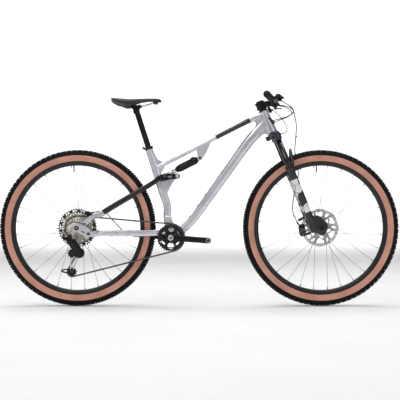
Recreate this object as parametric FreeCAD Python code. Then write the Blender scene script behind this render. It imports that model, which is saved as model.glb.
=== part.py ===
import FreeCAD, Part
import math
import os

# Full-suspension mountain bike, modelled in millimetres.
# +X points forward, +Y to the rider's left and +Z up. The origin lies on the ground,
# midway between the two axles. The drive side is the -Y side.

V = FreeCAD.Vector
os.makedirs("parts", exist_ok=True)

# ---------------------------------------------------------------- driving dimensions
WHEEL_R = 368.0            # outer radius of the tyres
TYRE_W = 57.0              # tyre section width
WHEELBASE = 1144.0
FRONT_HUB_W = 110.0        # between the fork's dropouts
REAR_HUB_W = 148.0         # between the rear dropouts
FRONT_AXLE_R = 7.5
REAR_AXLE_R = 6.0
SPOKES = 28
SPOKE_FLANGE_R = 26.5
NIPPLE_SEAT_R = 295.0      # where the spokes end in the rims
FRONT_ROTOR_R = 90.0
FRONT_ROTOR_Y = 37.0
REAR_ROTOR_R = 80.0
REAR_ROTOR_Y = 55.5
ROTOR_HALF = 0.9           # half the thickness of a brake disc

HEAD_ANGLE = 68.0          # degrees from the ground
STEER_X = 524.5            # where the steering axis is at axle height
LEG_AHEAD = 9.5            # fork legs ahead of the steering axis
LEG_Y = 66.0               # fork legs from the middle
STEERER_R = 14.3
STANCHION_R = 15.0
LOWER_R = 19.5
CROWN_LOW, CROWN_TOP = 441.0, 480.0     # heights along the steering axis from axle height
HEAD_LOW, HEAD_TOP = 484.5, 593.0
STEM_LOW, STEM_TOP = 603.0, 641.0

BB = (-134.0, 323.0)       # bottom bracket centre (x, z)
MAIN_PIVOT = (-133.0, 362.0)
STAY_PIVOT = (-517.0, 341.0)
ROCKER_PIVOT = (-103.0, 612.0)
ROCKER_STAY = (-190.0, 600.0)
ROCKER_SHOCK = (-163.0, 613.0)
SHOCK_FRONT = (3.0, 697.0)

SEAT_SLOPE = -0.3226       # dx/dz of the seat tube axis
SEAT_REF = (-244.4, 760.0)
POST_R = 13.6
CRANK_LENGTH = 175.0
CRANK_DROP = 4.2           # degrees below level, pointing forward
PEDAL_R = 7.1              # pedal thread, 9/16 inch
CHAIN_PITCH = 12.7
ROLLER_R = 3.8
TOOTH_HALF = 0.6          # half the thickness of a sprocket's teeth
RING_TEETH = 32
RING_Y = -50.0
COGS = (10, 12, 14, 16, 18, 21, 24, 28, 32, 36, 40, 45)
COG_STEP = 3.65
SMALL_COG_Y = -67.0
CHAIN_COG = 7              # the chain runs on this cog, counted from the smallest
PULLEY_TEETH = 11
GUIDE_PULLEY = (-596.0, 250.0)
TENSION_PULLEY = (-601.0, 163.0)
HANGER_BOLT = (-603.0, 331.0)
UPPER_KNUCKLE = (-606.0, 316.0)
LOWER_KNUCKLE = (-560.0, 252.0)
CAGE_TIP = (-640.0, 168.0)
BARREL_FOOT = (-630.0, 321.0)

BAR_HALF = 370.0
BAR_SWEEP = 9.0            # degrees
BAR_STRAIGHT = 45.0        # half of the clamped middle
BAR_RISE = 0.0275          # per mm outboard of the straight middle
BAR_CENTRE = (350.0, 960.0)
BAR_CLAMP_R = 15.9
BAR_TIP_R = 11.1
FIT = 0.08                 # radial clearance of a running fit
TIGHT = 0.05               # radial clearance of a clamped seat
GAP = 0.3                  # clearance between faces on different bodies
OPEN_PIVOT_R = 8.0         # hole around the rocker's bolt in each seat stay

# ---------------------------------------------------------------- derived places
AXLE_Z = WHEEL_R
FRONT_AXLE = (WHEELBASE / 2, AXLE_Z)
REAR_AXLE = (-WHEELBASE / 2, AXLE_Z)
TILT = math.radians(90 - HEAD_ANGLE)
CHAIN_COG_Y = SMALL_COG_Y + CHAIN_COG * COG_STEP


# ---------------------------------------------------------------- small helpers
def at(x, z, y=0.0):
    return V(x, y, z)


def steer(s, n=0.0, y=0.0):
    """A point s up the steering axis from axle height, n ahead of it and y to the left."""
    x = STEER_X - s * math.sin(TILT) + n * math.cos(TILT)
    z = AXLE_Z + s * math.cos(TILT) + n * math.sin(TILT)
    return V(x, y, z)


def seat(z, y=0.0):
    """The point of the seat tube's axis at height z."""
    return V(SEAT_REF[0] + (z - SEAT_REF[1]) * SEAT_SLOPE, y, z)


def bar_point(y, forward=0.0, up=0.0):
    """A point of the handlebar's line at distance y from the middle."""
    outboard = max(abs(y) - BAR_STRAIGHT, 0)
    back = outboard * math.tan(math.radians(BAR_SWEEP))
    return V(BAR_CENTRE[0] - back + forward, y, BAR_CENTRE[1] + outboard * BAR_RISE + up)


def between(a, b, t):
    return a + (b - a) * t


def rod(a, b, r, r_end=None):
    """A cylinder from a to b, or a cone where the far end has another radius."""
    d = b - a
    if r_end is None or abs(r_end - r) < 1e-6:
        return Part.makeCylinder(r, d.Length, a, d)
    return Part.makeCone(r, r_end, d.Length, a, d)


def pipe(a, b, r, r_in):
    d = (b - a).normalize()
    return rod(a, b, r).cut(rod(a - d, b + d, r_in))


def across(centre, r, y0, y1):
    """A cylinder along Y about the (x, z) centre."""
    return rod(at(centre[0], centre[1], y0), at(centre[0], centre[1], y1), r)


def ring(centre, r, r_in, y0, y1):
    return across(centre, r, y0, y1).cut(across(centre, r_in, y0 - 1, y1 + 1))


def fuse(*solids):
    whole = solids[0].multiFuse(list(solids[1:]))
    return whole.removeSplitter()


def mirror(shape):
    return shape.mirror(V(0, 0, 0), V(0, 1, 0))


def both(shape):
    """The shape and its copy on the other side of the bike, as separate solids."""
    return Part.makeCompound([shape, mirror(shape)])


def group(*shapes):
    return Part.makeCompound(list(shapes))


def prism(points, y0, y1):
    """A polygon of (x, z) points, made solid from y0 to y1."""
    pts = [at(x, z, y0) for x, z in points]
    face = Part.Face(Part.makePolygon(pts + pts[:1]))
    return face.extrude(V(0, y1 - y0, 0))


def bar(c0, r0, c1, r1, y0, y1):
    """A flat bar with round ends of radius r0 at c0 and r1 at c1, in the XZ plane."""
    d = math.hypot(c1[0] - c0[0], c1[1] - c0[1])
    base = math.atan2(c1[1] - c0[1], c1[0] - c0[0])
    lean = math.acos((r0 - r1) / d)

    def rim_point(c, r, angle):
        return at(c[0] + r * math.cos(angle), c[1] + r * math.sin(angle), y0)

    a0 = rim_point(c0, r0, base + lean)
    a1 = rim_point(c1, r1, base + lean)
    b0 = rim_point(c0, r0, base - lean)
    b1 = rim_point(c1, r1, base - lean)
    edges = [Part.LineSegment(a0, a1).toShape(),
             Part.Arc(a1, rim_point(c1, r1, base), b1).toShape(),
             Part.LineSegment(b1, b0).toShape(),
             Part.Arc(b0, rim_point(c0, r0, base + math.pi), a0).toShape()]
    return Part.Face(Part.Wire(edges)).extrude(V(0, y1 - y0, 0))


def turned(profile, centre):
    """A solid turned about the Y axis through centre, from (radius, y) points."""
    pts = [at(centre[0], centre[1] + r, y) for r, y in profile]
    face = Part.Face(Part.makePolygon(pts + pts[:1]))
    return face.revolve(at(centre[0], centre[1]), V(0, 1, 0), 360)


def section(centre, along, width, height, corner):
    """A rounded rectangle across the direction along; its width lies along Y."""
    t = V(along).normalize()
    side = V(0, 1, 0)
    side = (side - t * side.dot(t)).normalize()
    up = t.cross(side)
    w, h = width / 2, height / 2
    c = min(corner, w * 0.98, h * 0.98)
    k = c * (1 - math.sqrt(0.5))

    def p(a, b):
        return centre + side * a + up * b

    edges = []
    for sw, sh, first in ((1, 1, True), (-1, 1, False), (-1, -1, True), (1, -1, False)):
        near, far = p(sw * w, sh * (h - c)), p(sw * (w - c), sh * h)
        if not first:
            near, far = far, near
        edges.append(Part.Arc(near, p(sw * (w - k), sh * (h - k)), far).toShape())
        nxt = {(1, 1): p(-(w - c), h), (-1, 1): p(-w, -(h - c)),
               (-1, -1): p(w - c, -h), (1, -1): p(w, h - c)}[(sw, sh)]
        edges.append(Part.LineSegment(far, nxt).toShape())
    return Part.Wire(edges)


def tube(stations):
    """A lofted tube through (centre, width, height, corner) stations."""
    wires = []
    for i, (c, w, h, r) in enumerate(stations):
        before = stations[max(i - 1, 0)][0]
        after = stations[min(i + 1, len(stations) - 1)][0]
        wires.append(section(c, after - before, w, h, r))
    return Part.makeLoft(wires, True, len(stations) == 2)


def beam(a, b, width, height):
    """A straight bar of rectangular section between two points."""
    return Part.makeLoft([section(p, b - a, width, height, min(width, height) * 0.3)
                          for p in (a, b)], True, True)


def hose(points, r):
    """A hose through straight runs joined by tangent arcs, as large as the runs allow."""
    edges = []
    start = points[0]
    for i in range(1, len(points) - 1):
        p = points[i]
        u = (points[i - 1] - p)
        v = (points[i + 1] - p)
        short = min(u.Length, v.Length)
        u.normalize()
        v.normalize()
        turn = math.pi - u.getAngle(v)
        back = 0.45 * short
        a, b = p + u * back, p + v * back
        radius = back / math.tan(turn / 2)
        middle = (u + v).normalize()
        centre = p + middle * math.hypot(radius, back)
        edges.append(Part.LineSegment(start, a).toShape())
        edges.append(Part.Arc(a, centre - middle * radius, b).toShape())
        print("  bend radius", round(radius, 1))
        start = b
    edges.append(Part.LineSegment(start, points[-1]).toShape())
    path = Part.Wire(edges)
    circle = Part.Wire([Part.makeCircle(r, points[0], points[1] - points[0])])
    solid = path.makePipeShell([circle], True, False)
    print("  hose length", round(path.Length), "volume ratio",
          round(abs(solid.Volume) / (math.pi * r * r * path.Length), 3))
    return solid


def save(name, shape):
    """Write one sub-part and report its solids."""
    solids = shape.Solids
    bad = [s for s in solids if not s.isValid() or s.Volume <= 0]
    print(name, "solids", len(solids), "bad", len(bad), "volume", round(shape.Volume))
    if len(solids) == 1:
        shape = solids[0]
    shape.exportStep("parts/" + name + ".step")


def gland(route, length, r):
    """The fitting that a hose leaves: a rod behind the route's first point, in line with it."""
    ahead = (route[1] - route[0]).normalize()
    return rod(route[0] - ahead * length, route[0], r)


# ---------------------------------------------------------------- routes of hoses and cables
FRONT_HOSE = [bar_point(136, 40, -3), at(392, 954, 110), at(428, 946, 76), at(448, 928, 58),
              at(453, 902, 51), at(461, 866, 48), at(461, 822, 47), at(456, 776, 47),
              at(453, 728, 46), at(462, 680, 45), at(472, 632, 43), at(466, 582, 41),
              at(451, 534, 41), at(444, 488, 42), at(442, 455, 42), at(448, 425, 41),
              at(463, 397, 38)]
REAR_HOSE_FRONT = [bar_point(-136, 40, -3), at(392, 951, -104), at(430, 936, -66),
                   at(446, 910, -46), at(414, 890, -36), at(384, 882, -31),
                   at(350, 873.5, -19)]
REAR_HOSE_BACK = [at(-372, 361, 58), at(-404, 392, 53), at(-434, 430, 51), at(-466, 449, 53),
                  at(-500, 441, 55.5)]
SHIFT_FRONT = [bar_point(-146, 40, -30), at(398, 930, -100), at(428, 921, -58), at(436, 903, -34),
               at(414, 888, -21), at(384, 877, -16), at(354, 866.5, -12)]
SHIFT_BACK = [at(-466, 354.5, -75.5), at(-493, 361, -85), at(-525, 381, -86.5),
              at(-556, 395, -87), at(-590, 397, -88), at(-616, 383, -88), at(-629, 361, -86),
              at(-631, 338, -82)]
LOCKOUT_CABLE = [bar_point(154, 22, -28.5), at(370, 918, 96), at(390, 889, 44), at(412, 852, 4),
                 at(414, 826, -24), at(400, 812, -48), at(382, 808, -62)]


# ---------------------------------------------------------------- wheels
def tyre(centre):
    """A hollow casing: outer round tread, inner round, open towards the rim."""
    section_r = TYRE_W / 2
    mid_r = WHEEL_R - section_r
    wall = 3.0
    bead_r, bead_y = 315.5, 12.2

    def p(r, y):
        return at(centre[0], centre[1] + r, y)

    inner_r = section_r - wall
    outer = Part.Arc(p(bead_r, bead_y), p(WHEEL_R, 0), p(bead_r, -bead_y)).toShape()
    inner = Part.Arc(p(bead_r, -bead_y + wall), p(mid_r + inner_r, 0), p(bead_r, bead_y - wall)).toShape()
    left = Part.LineSegment(p(bead_r, bead_y - wall), p(bead_r, bead_y)).toShape()
    right = Part.LineSegment(p(bead_r, -bead_y), p(bead_r, -bead_y + wall)).toShape()
    face = Part.Face(Part.Wire([outer, right, inner, left]))
    return face.revolve(at(*centre), V(0, 1, 0), 360)


def rim(centre):
    """A channel rim with hooked walls; the valve stands on its bed, a little above the top."""
    bed, lip, half, wall = 294.0, 315.0, 15.0, 2.4
    channel = turned([(bed, -half + 4), (bed + 6, -half), (lip, -half), (lip, -half + wall),
                      (bed + 7, -half + wall), (bed + wall + 0.6, -half + 7),
                      (bed + wall + 0.6, half - 7), (bed + 7, half - wall),
                      (lip, half - wall), (lip, half), (bed + 6, half), (bed, half - 4)], centre)
    lean = math.radians(-4)
    foot = at(centre[0] + 296 * math.sin(lean), centre[1] - 296 * math.cos(lean))
    tip = at(centre[0] + 262 * math.sin(lean), centre[1] - 262 * math.cos(lean))
    stem = fuse(rod(foot, between(foot, tip, 0.96), 2.7), rod(between(foot, tip, 0.3), tip, 1.9),
                rod(foot, between(foot, tip, 0.16), 5.5))
    return fuse(channel, stem)


def spokes(centre, flanges):
    """Crossed pairs of spokes from both flanges to the rim, with their nipples."""
    out = []
    for k in range(SPOKES):
        side = k % 2
        rim_angle = 2 * math.pi * (k + 0.5) / SPOKES
        cross = math.radians(52 if (k // 2) % 2 else -52)
        hub_angle = rim_angle + cross
        inner = at(centre[0] + SPOKE_FLANGE_R * math.sin(hub_angle),
                   centre[1] + SPOKE_FLANGE_R * math.cos(hub_angle), flanges[side])
        outer = at(centre[0] + NIPPLE_SEAT_R * math.sin(rim_angle),
                   centre[1] + NIPPLE_SEAT_R * math.cos(rim_angle), 3.0 - 6.0 * side)
        out.append(fuse(rod(inner, outer, 1.0), rod(between(inner, outer, 0.955), outer, 2.0)))
    return group(*out)


def hub(centre, bore, profile):
    shell = turned(profile, centre)
    return shell.cut(across(centre, bore, -200, 200))


def rotor(centre, r, y):
    """A ventilated disc: brake band, six arms and a round carrier."""
    low, high = y - ROTOR_HALF, y + ROTOR_HALF
    band = ring(centre, r, r - 15, low, high)
    carrier = ring(centre, 28, 22.2, low, high)
    arms = []
    for k in range(6):
        a = math.radians(60 * k)
        b = a + math.radians(34)
        c0 = (centre[0] + 26.5 * math.cos(a), centre[1] + 26.5 * math.sin(a))
        c1 = (centre[0] + (r - 13) * math.cos(b), centre[1] + (r - 13) * math.sin(b))
        arms.append(bar(c0, 3.6, c1, 3.0, low, high))
    disc = fuse(band, carrier, *arms)
    holes = []
    for k in range(24):
        a = math.radians(15 * k)
        for row, dist in enumerate((r - 4.5, r - 9.5)):
            b = a + math.radians(7.5 * row)
            middle = (centre[0] + dist * math.cos(b), centre[1] + dist * math.sin(b))
            holes.append(across(middle, 1.9, y - 2, y + 2))
    return disc.cut(group(*holes))


def build_wheels():
    front_flanges = (22.0, -34.0)
    rear_flanges = (33.0, -20.0)
    save("front_tyre", tyre(FRONT_AXLE))
    save("rear_tyre", tyre(REAR_AXLE))
    save("front_rim", rim(FRONT_AXLE))
    save("rear_rim", rim(REAR_AXLE))
    save("front_spokes", spokes(FRONT_AXLE, front_flanges))
    save("rear_spokes", spokes(REAR_AXLE, rear_flanges))

    end = FRONT_HUB_W / 2 - GAP
    front = [(0, -end), (10.5, -end), (10.5, -44), (18, -42), (19, -36), (29, -35.5), (29, -32.5),
             (18, -31), (14, -20), (14, 10), (18, 19), (29, 20.5), (29, 23.5), (21, 25),
             (21.9, 35), (21.9, 38.5), (19, 41), (10.5, 43), (10.5, end), (0, end)]
    save("front_hub", hub(FRONT_AXLE, FRONT_AXLE_R + FIT, front))
    rear = [(0, -24.5), (20, -24.5), (20, -22), (30, -21.5), (30, -18.5), (20, -17), (16, -6),
            (16, 20), (19, 31), (30, 31.5), (30, 34.5), (21, 36), (21.9, 53), (21.9, 57),
            (18, 60), (11, 62), (11, 69.5), (0, 69.5)]
    save("rear_hub", hub(REAR_AXLE, REAR_AXLE_R + FIT, rear))
    save("front_rotor", rotor(FRONT_AXLE, FRONT_ROTOR_R, FRONT_ROTOR_Y))
    save("rear_rotor", rotor(REAR_AXLE, REAR_ROTOR_R, REAR_ROTOR_Y))


# ---------------------------------------------------------------- main frame
def top_tube_centre(x):
    return at(x, 677.2 + (x + 150) * 0.512)


def build_frame():
    head = rod(steer(HEAD_LOW), steer(HEAD_TOP), 27.0, 22.5)
    top = tube([(top_tube_centre(-205), 34, 24, 9), (top_tube_centre(-150), 36, 22, 9),
                (top_tube_centre(0), 38, 23, 10), (top_tube_centre(150), 40, 24, 10.5),
                (top_tube_centre(235), 40, 26, 11), (at(272, 888), 40, 34, 12), (at(294, 893), 38, 40, 13)])
    down = tube([(at(322, 868), 40, 64, 16), (at(275, 820), 46, 54, 18), (at(223, 760), 50, 50, 19),
                 (at(108.75, 600), 52, 47.5, 19), (at(22.6, 480), 52, 45, 18),
                 (at(-26, 413), 54, 42, 16), (at(-80, 360), 56, 40, 14), (at(-140, 330), 58, 40, 12)])
    seat_tube = tube([(seat(738), 36, 36, 17), (seat(660), 37, 37, 17.5), (seat(540), 38, 39, 17.5),
                      (seat(470), 42, 38, 15), (at(-151, 425), 50, 38, 14), (at(-143, 372), 57, 36, 12)])
    shell = across(BB, 22.8, -46, 46)
    core = fuse(bar((-149, 408), 19, MAIN_PIVOT, 15.5, -29.5, 29.5),
                bar(MAIN_PIVOT, 15.5, BB, 23, -29.5, 29.5),
                bar(BB, 23, (-84, 356), 19, -29, 29))
    seat_gusset = prism([(-212, 722), (-196, 692), (-160, 674), (-158, 660), (-182, 622), (-205, 640)],
                        -15, 15)
    throat = prism([(252, 846), (262, 882), (300, 905), (345, 850), (326, 809), (304, 809), (282, 798),
                    (240, 796)], -19, 19)
    ports = [gland(REAR_HOSE_FRONT[::-1], 14, 4.6), gland(SHIFT_FRONT[::-1], 14, 4.6)]
    rocker_arm = fuse(bar((-176, 566), 17, ROCKER_PIVOT, 13, -20.4, 20.4),
                      bar((-164, 530), 12, ROCKER_PIVOT, 10, -14, 14))
    ears = []
    for side in (-1, 1):
        inner, outer = 12.0 * side, 18.0 * side
        ears.append(prism([(-14, 742), (62, 782), (18, 692), (-8, 690)], inner, outer))
        ears.append(across(SHOCK_FRONT, 12.5, inner, outer))
    frame = fuse(head, top, down, seat_tube, shell, core, seat_gusset, throat, rocker_arm, *ears, *ports)
    frame = frame.cut(rod(steer(470), steer(610), 20.0)).cut(rod(steer(HEAD_TOP), steer(650), 60.0))
    frame = frame.cut(rod(steer(470), steer(HEAD_LOW), 30.0))
    frame = frame.cut(rod(seat(497), seat(760), POST_R + FIT))
    frame = frame.cut(across(BB, 20.0, -60, 60))
    frame = frame.cut(across(MAIN_PIVOT, 7.5 + FIT, -60, 60))
    frame = frame.cut(across(ROCKER_PIVOT, 6.0 + FIT, -60, 60))
    frame = frame.cut(across(SHOCK_FRONT, 4.0 + FIT, -60, 60))
    slit_low, slit_high = seat(700), seat(745)
    frame = frame.cut(beam(slit_low + V(-18, 0, 0), slit_high + V(-18, 0, 0), 2.0, 12.0))
    save("main_frame", frame)

    bore = rod(steer(470), steer(650), STEERER_R + FIT)
    lower = fuse(rod(steer(HEAD_LOW - 2.2), steer(HEAD_LOW - 0.1), 26.5),
                 rod(steer(HEAD_LOW - 0.1), steer(HEAD_LOW + 10), 19.9)).cut(bore)
    lower = lower.cut(rod(steer(470), steer(HEAD_LOW - 1), 17.5))
    upper = fuse(rod(steer(HEAD_TOP - 10), steer(HEAD_TOP + 0.1), 19.9),
                 rod(steer(HEAD_TOP + 0.1), steer(HEAD_TOP + 7.5), 22.3, 19.0)).cut(bore)
    save("headset", group(lower, upper))

    band = pipe(seat(738.6), seat(749), 21.0, POST_R + FIT)
    lug = rod(seat(743.5, -12) + V(-24, 0, 0), seat(743.5, 12) + V(-24, 0, 0), 6.0)
    save("seat_clamp", fuse(band, lug.cut(rod(seat(738), seat(750), 20.0))))

    cup = ring(BB, 19.9, 12.0 + FIT, 34, 46)
    lip = ring(BB, 21.5, 12.0 + FIT, 46.1, 48.4)
    save("bottom_bracket", group(both(cup), both(lip)))

    main_axle = fuse(across(MAIN_PIVOT, 7.5, -46.2, 46.2), across(MAIN_PIVOT, 11.5, -48.0, -46.2),
                     across(MAIN_PIVOT, 11.5, 46.2, 48.0))
    rocker_axle = fuse(across(ROCKER_PIVOT, 6.0, -27.4, 27.4), across(ROCKER_PIVOT, 9, -29.4, -27.4),
                       across(ROCKER_PIVOT, 9, 27.4, 29.4))
    shock_bolt = fuse(across(SHOCK_FRONT, 4.0, -18.2, 18.2), across(SHOCK_FRONT, 7, -21, -18.2),
                      across(SHOCK_FRONT, 7, 18.2, 21))
    bolts = [main_axle, rocker_axle, shock_bolt]
    slope = math.atan2(760 - 480, 223 - 22.6)
    out = V(-math.sin(slope), 0, math.cos(slope))
    for dist in (-88, -24, 39, 169, 231):
        foot = at(22.6 + dist * math.cos(slope), 480 + dist * math.sin(slope)) + out * 20.5
        bolts.append(rod(foot, foot + out * 6.2, 4.5))
    save("frame_bolts", group(*bolts))


# ---------------------------------------------------------------- seatpost and saddle
def saddle_rail(side, r):
    """One rail, from its socket at the saddle's back to the one at its nose."""
    return hose([at(-376, 948, side * 34), at(-345, 938.5, side * 24), at(-320, 939, side * 22),
                 at(-250, 942, side * 22), at(-215, 958, side * 9)], r)


def build_saddle():
    post = rod(seat(590), seat(904), POST_R).cut(rod(seat(585), seat(880), POST_R - 2.2))
    cradle = across((-297, 921), 15, -17, 17)
    save("seatpost", fuse(post, rod(seat(900), seat(918), 12.5), cradle))

    plates = []
    for side in (-1, 1):
        y0, y1 = sorted((side * 17.3, side * 27.0))
        plates.append(prism([(-322, 931), (-272, 934), (-272, 947), (-322, 944)], y0, y1))
    clamp = fuse(*plates, prism([(-318, 937.5), (-276, 940), (-276, 946), (-318, 943.5)], -20, 20))
    bolts = [rod(at(x, z), at(x, z + 25), 3.0) for x, z in ((-312, 925), (-283, 926))]
    seats = group(saddle_rail(-1, 3.5 + TIGHT), saddle_rail(1, 3.5 + TIGHT))
    save("saddle_clamp", fuse(clamp, *bolts).cut(cradle).cut(seats))
    save("saddle_rails", group(saddle_rail(-1, 3.5), saddle_rail(1, 3.5)))

    shell = tube([(at(-404, 962), 100, 8, 4), (at(-380, 957), 128, 9, 4), (at(-340, 955), 126, 9, 4),
                  (at(-290, 957.5), 84, 9, 4), (at(-240, 961), 46, 9, 4), (at(-190, 961.5), 34, 8, 4)])
    shell = shell.cut(seats)
    save("saddle_shell", shell)
    cover = tube([(at(-414, 972.5), 96, 8, 3.9), (at(-396, 971), 134, 16, 7), (at(-360, 968.6), 145, 17, 8),
                  (at(-320, 968), 128, 16, 7.8), (at(-275, 969), 86, 14, 6.8), (at(-230, 970), 52, 12, 5.8),
                  (at(-192, 969.2), 40, 11, 5.3), (at(-178, 967.5), 30, 8, 3.9)])
    save("saddle_cover", cover.cut(shell))


# ---------------------------------------------------------------- fork and cockpit
def leg(s, side, n=LEG_AHEAD):
    return steer(s, n, side * LEG_Y)


def build_fork():
    parts = [rod(steer(CROWN_TOP - 8), steer(CROWN_TOP + 2), 24.0, 17.0),
             rod(steer(CROWN_TOP - 6), steer(STEM_TOP - 1), STEERER_R)]
    for side in (-1, 1):
        parts.append(rod(leg(CROWN_LOW, side), leg(CROWN_TOP - 2, side), 20.5, 19.0))
    arch = [(-66, 446), (-40, 456), (0, 460), (40, 456), (66, 446), (66, 478), (30, 480),
            (-30, 480), (-66, 478)]
    pts = [steer(s, -12, y) for y, s in arch]
    face = Part.Face(Part.makePolygon(pts + pts[:1]))
    parts.append(face.extrude(steer(0, 38) - steer(0)))
    for side in (-1, 1):
        parts.append(rod(leg(CROWN_TOP - 2.5, side), leg(CROWN_TOP + 1, side), 13, 11))
    for side in (-1, 1):
        parts.append(rod(leg(170, side), leg(CROWN_LOW + 20, side), STANCHION_R))
    knob = rod(steer(452, -33, -LEG_Y + 4), steer(474, -33, -LEG_Y + 4), 9.0)
    link = beam(steer(455, -34, -LEG_Y), steer(470, -8, -LEG_Y), 12, 14)
    save("fork_crown", fuse(*parts, knob, link, gland(LOCKOUT_CABLE[::-1], 10, 4.0)))

    lowers = [fork_arch()]
    dropout = [(522, 372), (548, 424), (566, 418), (592, 396), (600, 380), (598, 352), (584, 336),
               (556, 341), (546, 348)]
    for side in (-1, 1):
        lowers.append(rod(leg(-22, side), leg(292, side), LOWER_R - 1.5, LOWER_R))
        lowers.append(rod(leg(288, side), leg(302, side), LOWER_R + 0.6, LOWER_R - 0.8))
        inner, outer = sorted((side * FRONT_HUB_W / 2, side * 76.0))
        lowers.append(prism(dropout, inner, outer))
    arms = fuse(beam(at(503, 417, 57), at(472, 402, 46), 12, 14),
                beam(at(530, 343, 57), at(500, 334, 46), 12, 14))
    for side in (-1, 1):
        arms = arms.cut(rod(leg(-22, side), leg(292, side), LOWER_R - 4))
    whole = fuse(*lowers, arms)
    for side in (-1, 1):
        whole = whole.cut(rod(leg(45, side), leg(320, side), STANCHION_R + FIT))
    whole = whole.cut(across(FRONT_AXLE, FRONT_AXLE_R + TIGHT, -90, 90))
    squeeze = caliper(FRONT_AXLE, FRONT_ROTOR_R, 188, FRONT_ROTOR_Y, 60)
    squeeze = fuse(squeeze, gland(FRONT_HOSE[::-1], 20, 4.2))
    save("fork_lowers", whole.cut(squeeze))
    save("front_caliper", squeeze)
    axle = fuse(across(FRONT_AXLE, FRONT_AXLE_R, -77, 76), across(FRONT_AXLE, 10.5, -80, -76.2))
    save("front_axle", axle)


def fork_arch():
    """The brace over the tyre that joins both lower legs."""
    stations = []
    for k in range(9):
        t = math.radians(180 * k / 8)
        y = LEG_Y * math.cos(t)
        s = 286 + 92 * math.sin(t)
        n = LEG_AHEAD + 14 + 26 * math.sin(t)
        stations.append(steer(s, n, y))
    wires = []
    for i, c in enumerate(stations):
        d = stations[min(i + 1, 8)] - stations[max(i - 1, 0)]
        wires.append(arch_section(c, d))
    return Part.makeLoft(wires, True, False)


def arch_section(centre, along):
    t = V(along).normalize()
    ahead = (steer(0, 1) - steer(0))
    ahead = (ahead - t * ahead.dot(t)).normalize()
    up = t.cross(ahead)
    pts = [centre + ahead * (8 * math.cos(a)) + up * (7 * math.sin(a))
           for a in [2 * math.pi * k / 8 for k in range(8)]]
    return Part.makePolygon(pts + pts[:1])


def caliper(axle, disc_r, angle, disc_y, tall):
    """A brake caliper that straddles the disc; angle is its direction from the axle, in degrees."""
    out = V(math.cos(math.radians(angle)), 0, math.sin(math.radians(angle)))
    up = V(-out.z, 0, out.x)
    centre = at(*axle, disc_y) + out * (disc_r - 6)
    halves = []
    for side in (-1, 1):
        near, far = centre + V(0, side * 1.9, 0), centre + V(0, side * 14.5, 0)
        faces = [oblong(near, up, out, tall, 30), oblong(far, up, out, tall - 6, 24)]
        halves.append(Part.makeLoft(faces, True, True))
    middle = centre + out * 13
    ends = [oblong(middle + V(0, y, 0), up, out, tall - 12, 6) for y in (-6, 6)]
    bridge = Part.makeLoft(ends, True, True)
    return fuse(*halves, bridge)


def oblong(centre, up, ahead, tall, wide):
    u, a = up * (tall / 2), ahead * (wide / 2)
    cu, ca = u * 0.75, a * 0.65
    pts = [centre + u + ca, centre + cu + a, centre - cu + a, centre - u + ca,
           centre - u - ca, centre - cu - a, centre + cu - a, centre + u - ca]
    return Part.makePolygon(pts + pts[:1])


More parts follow.
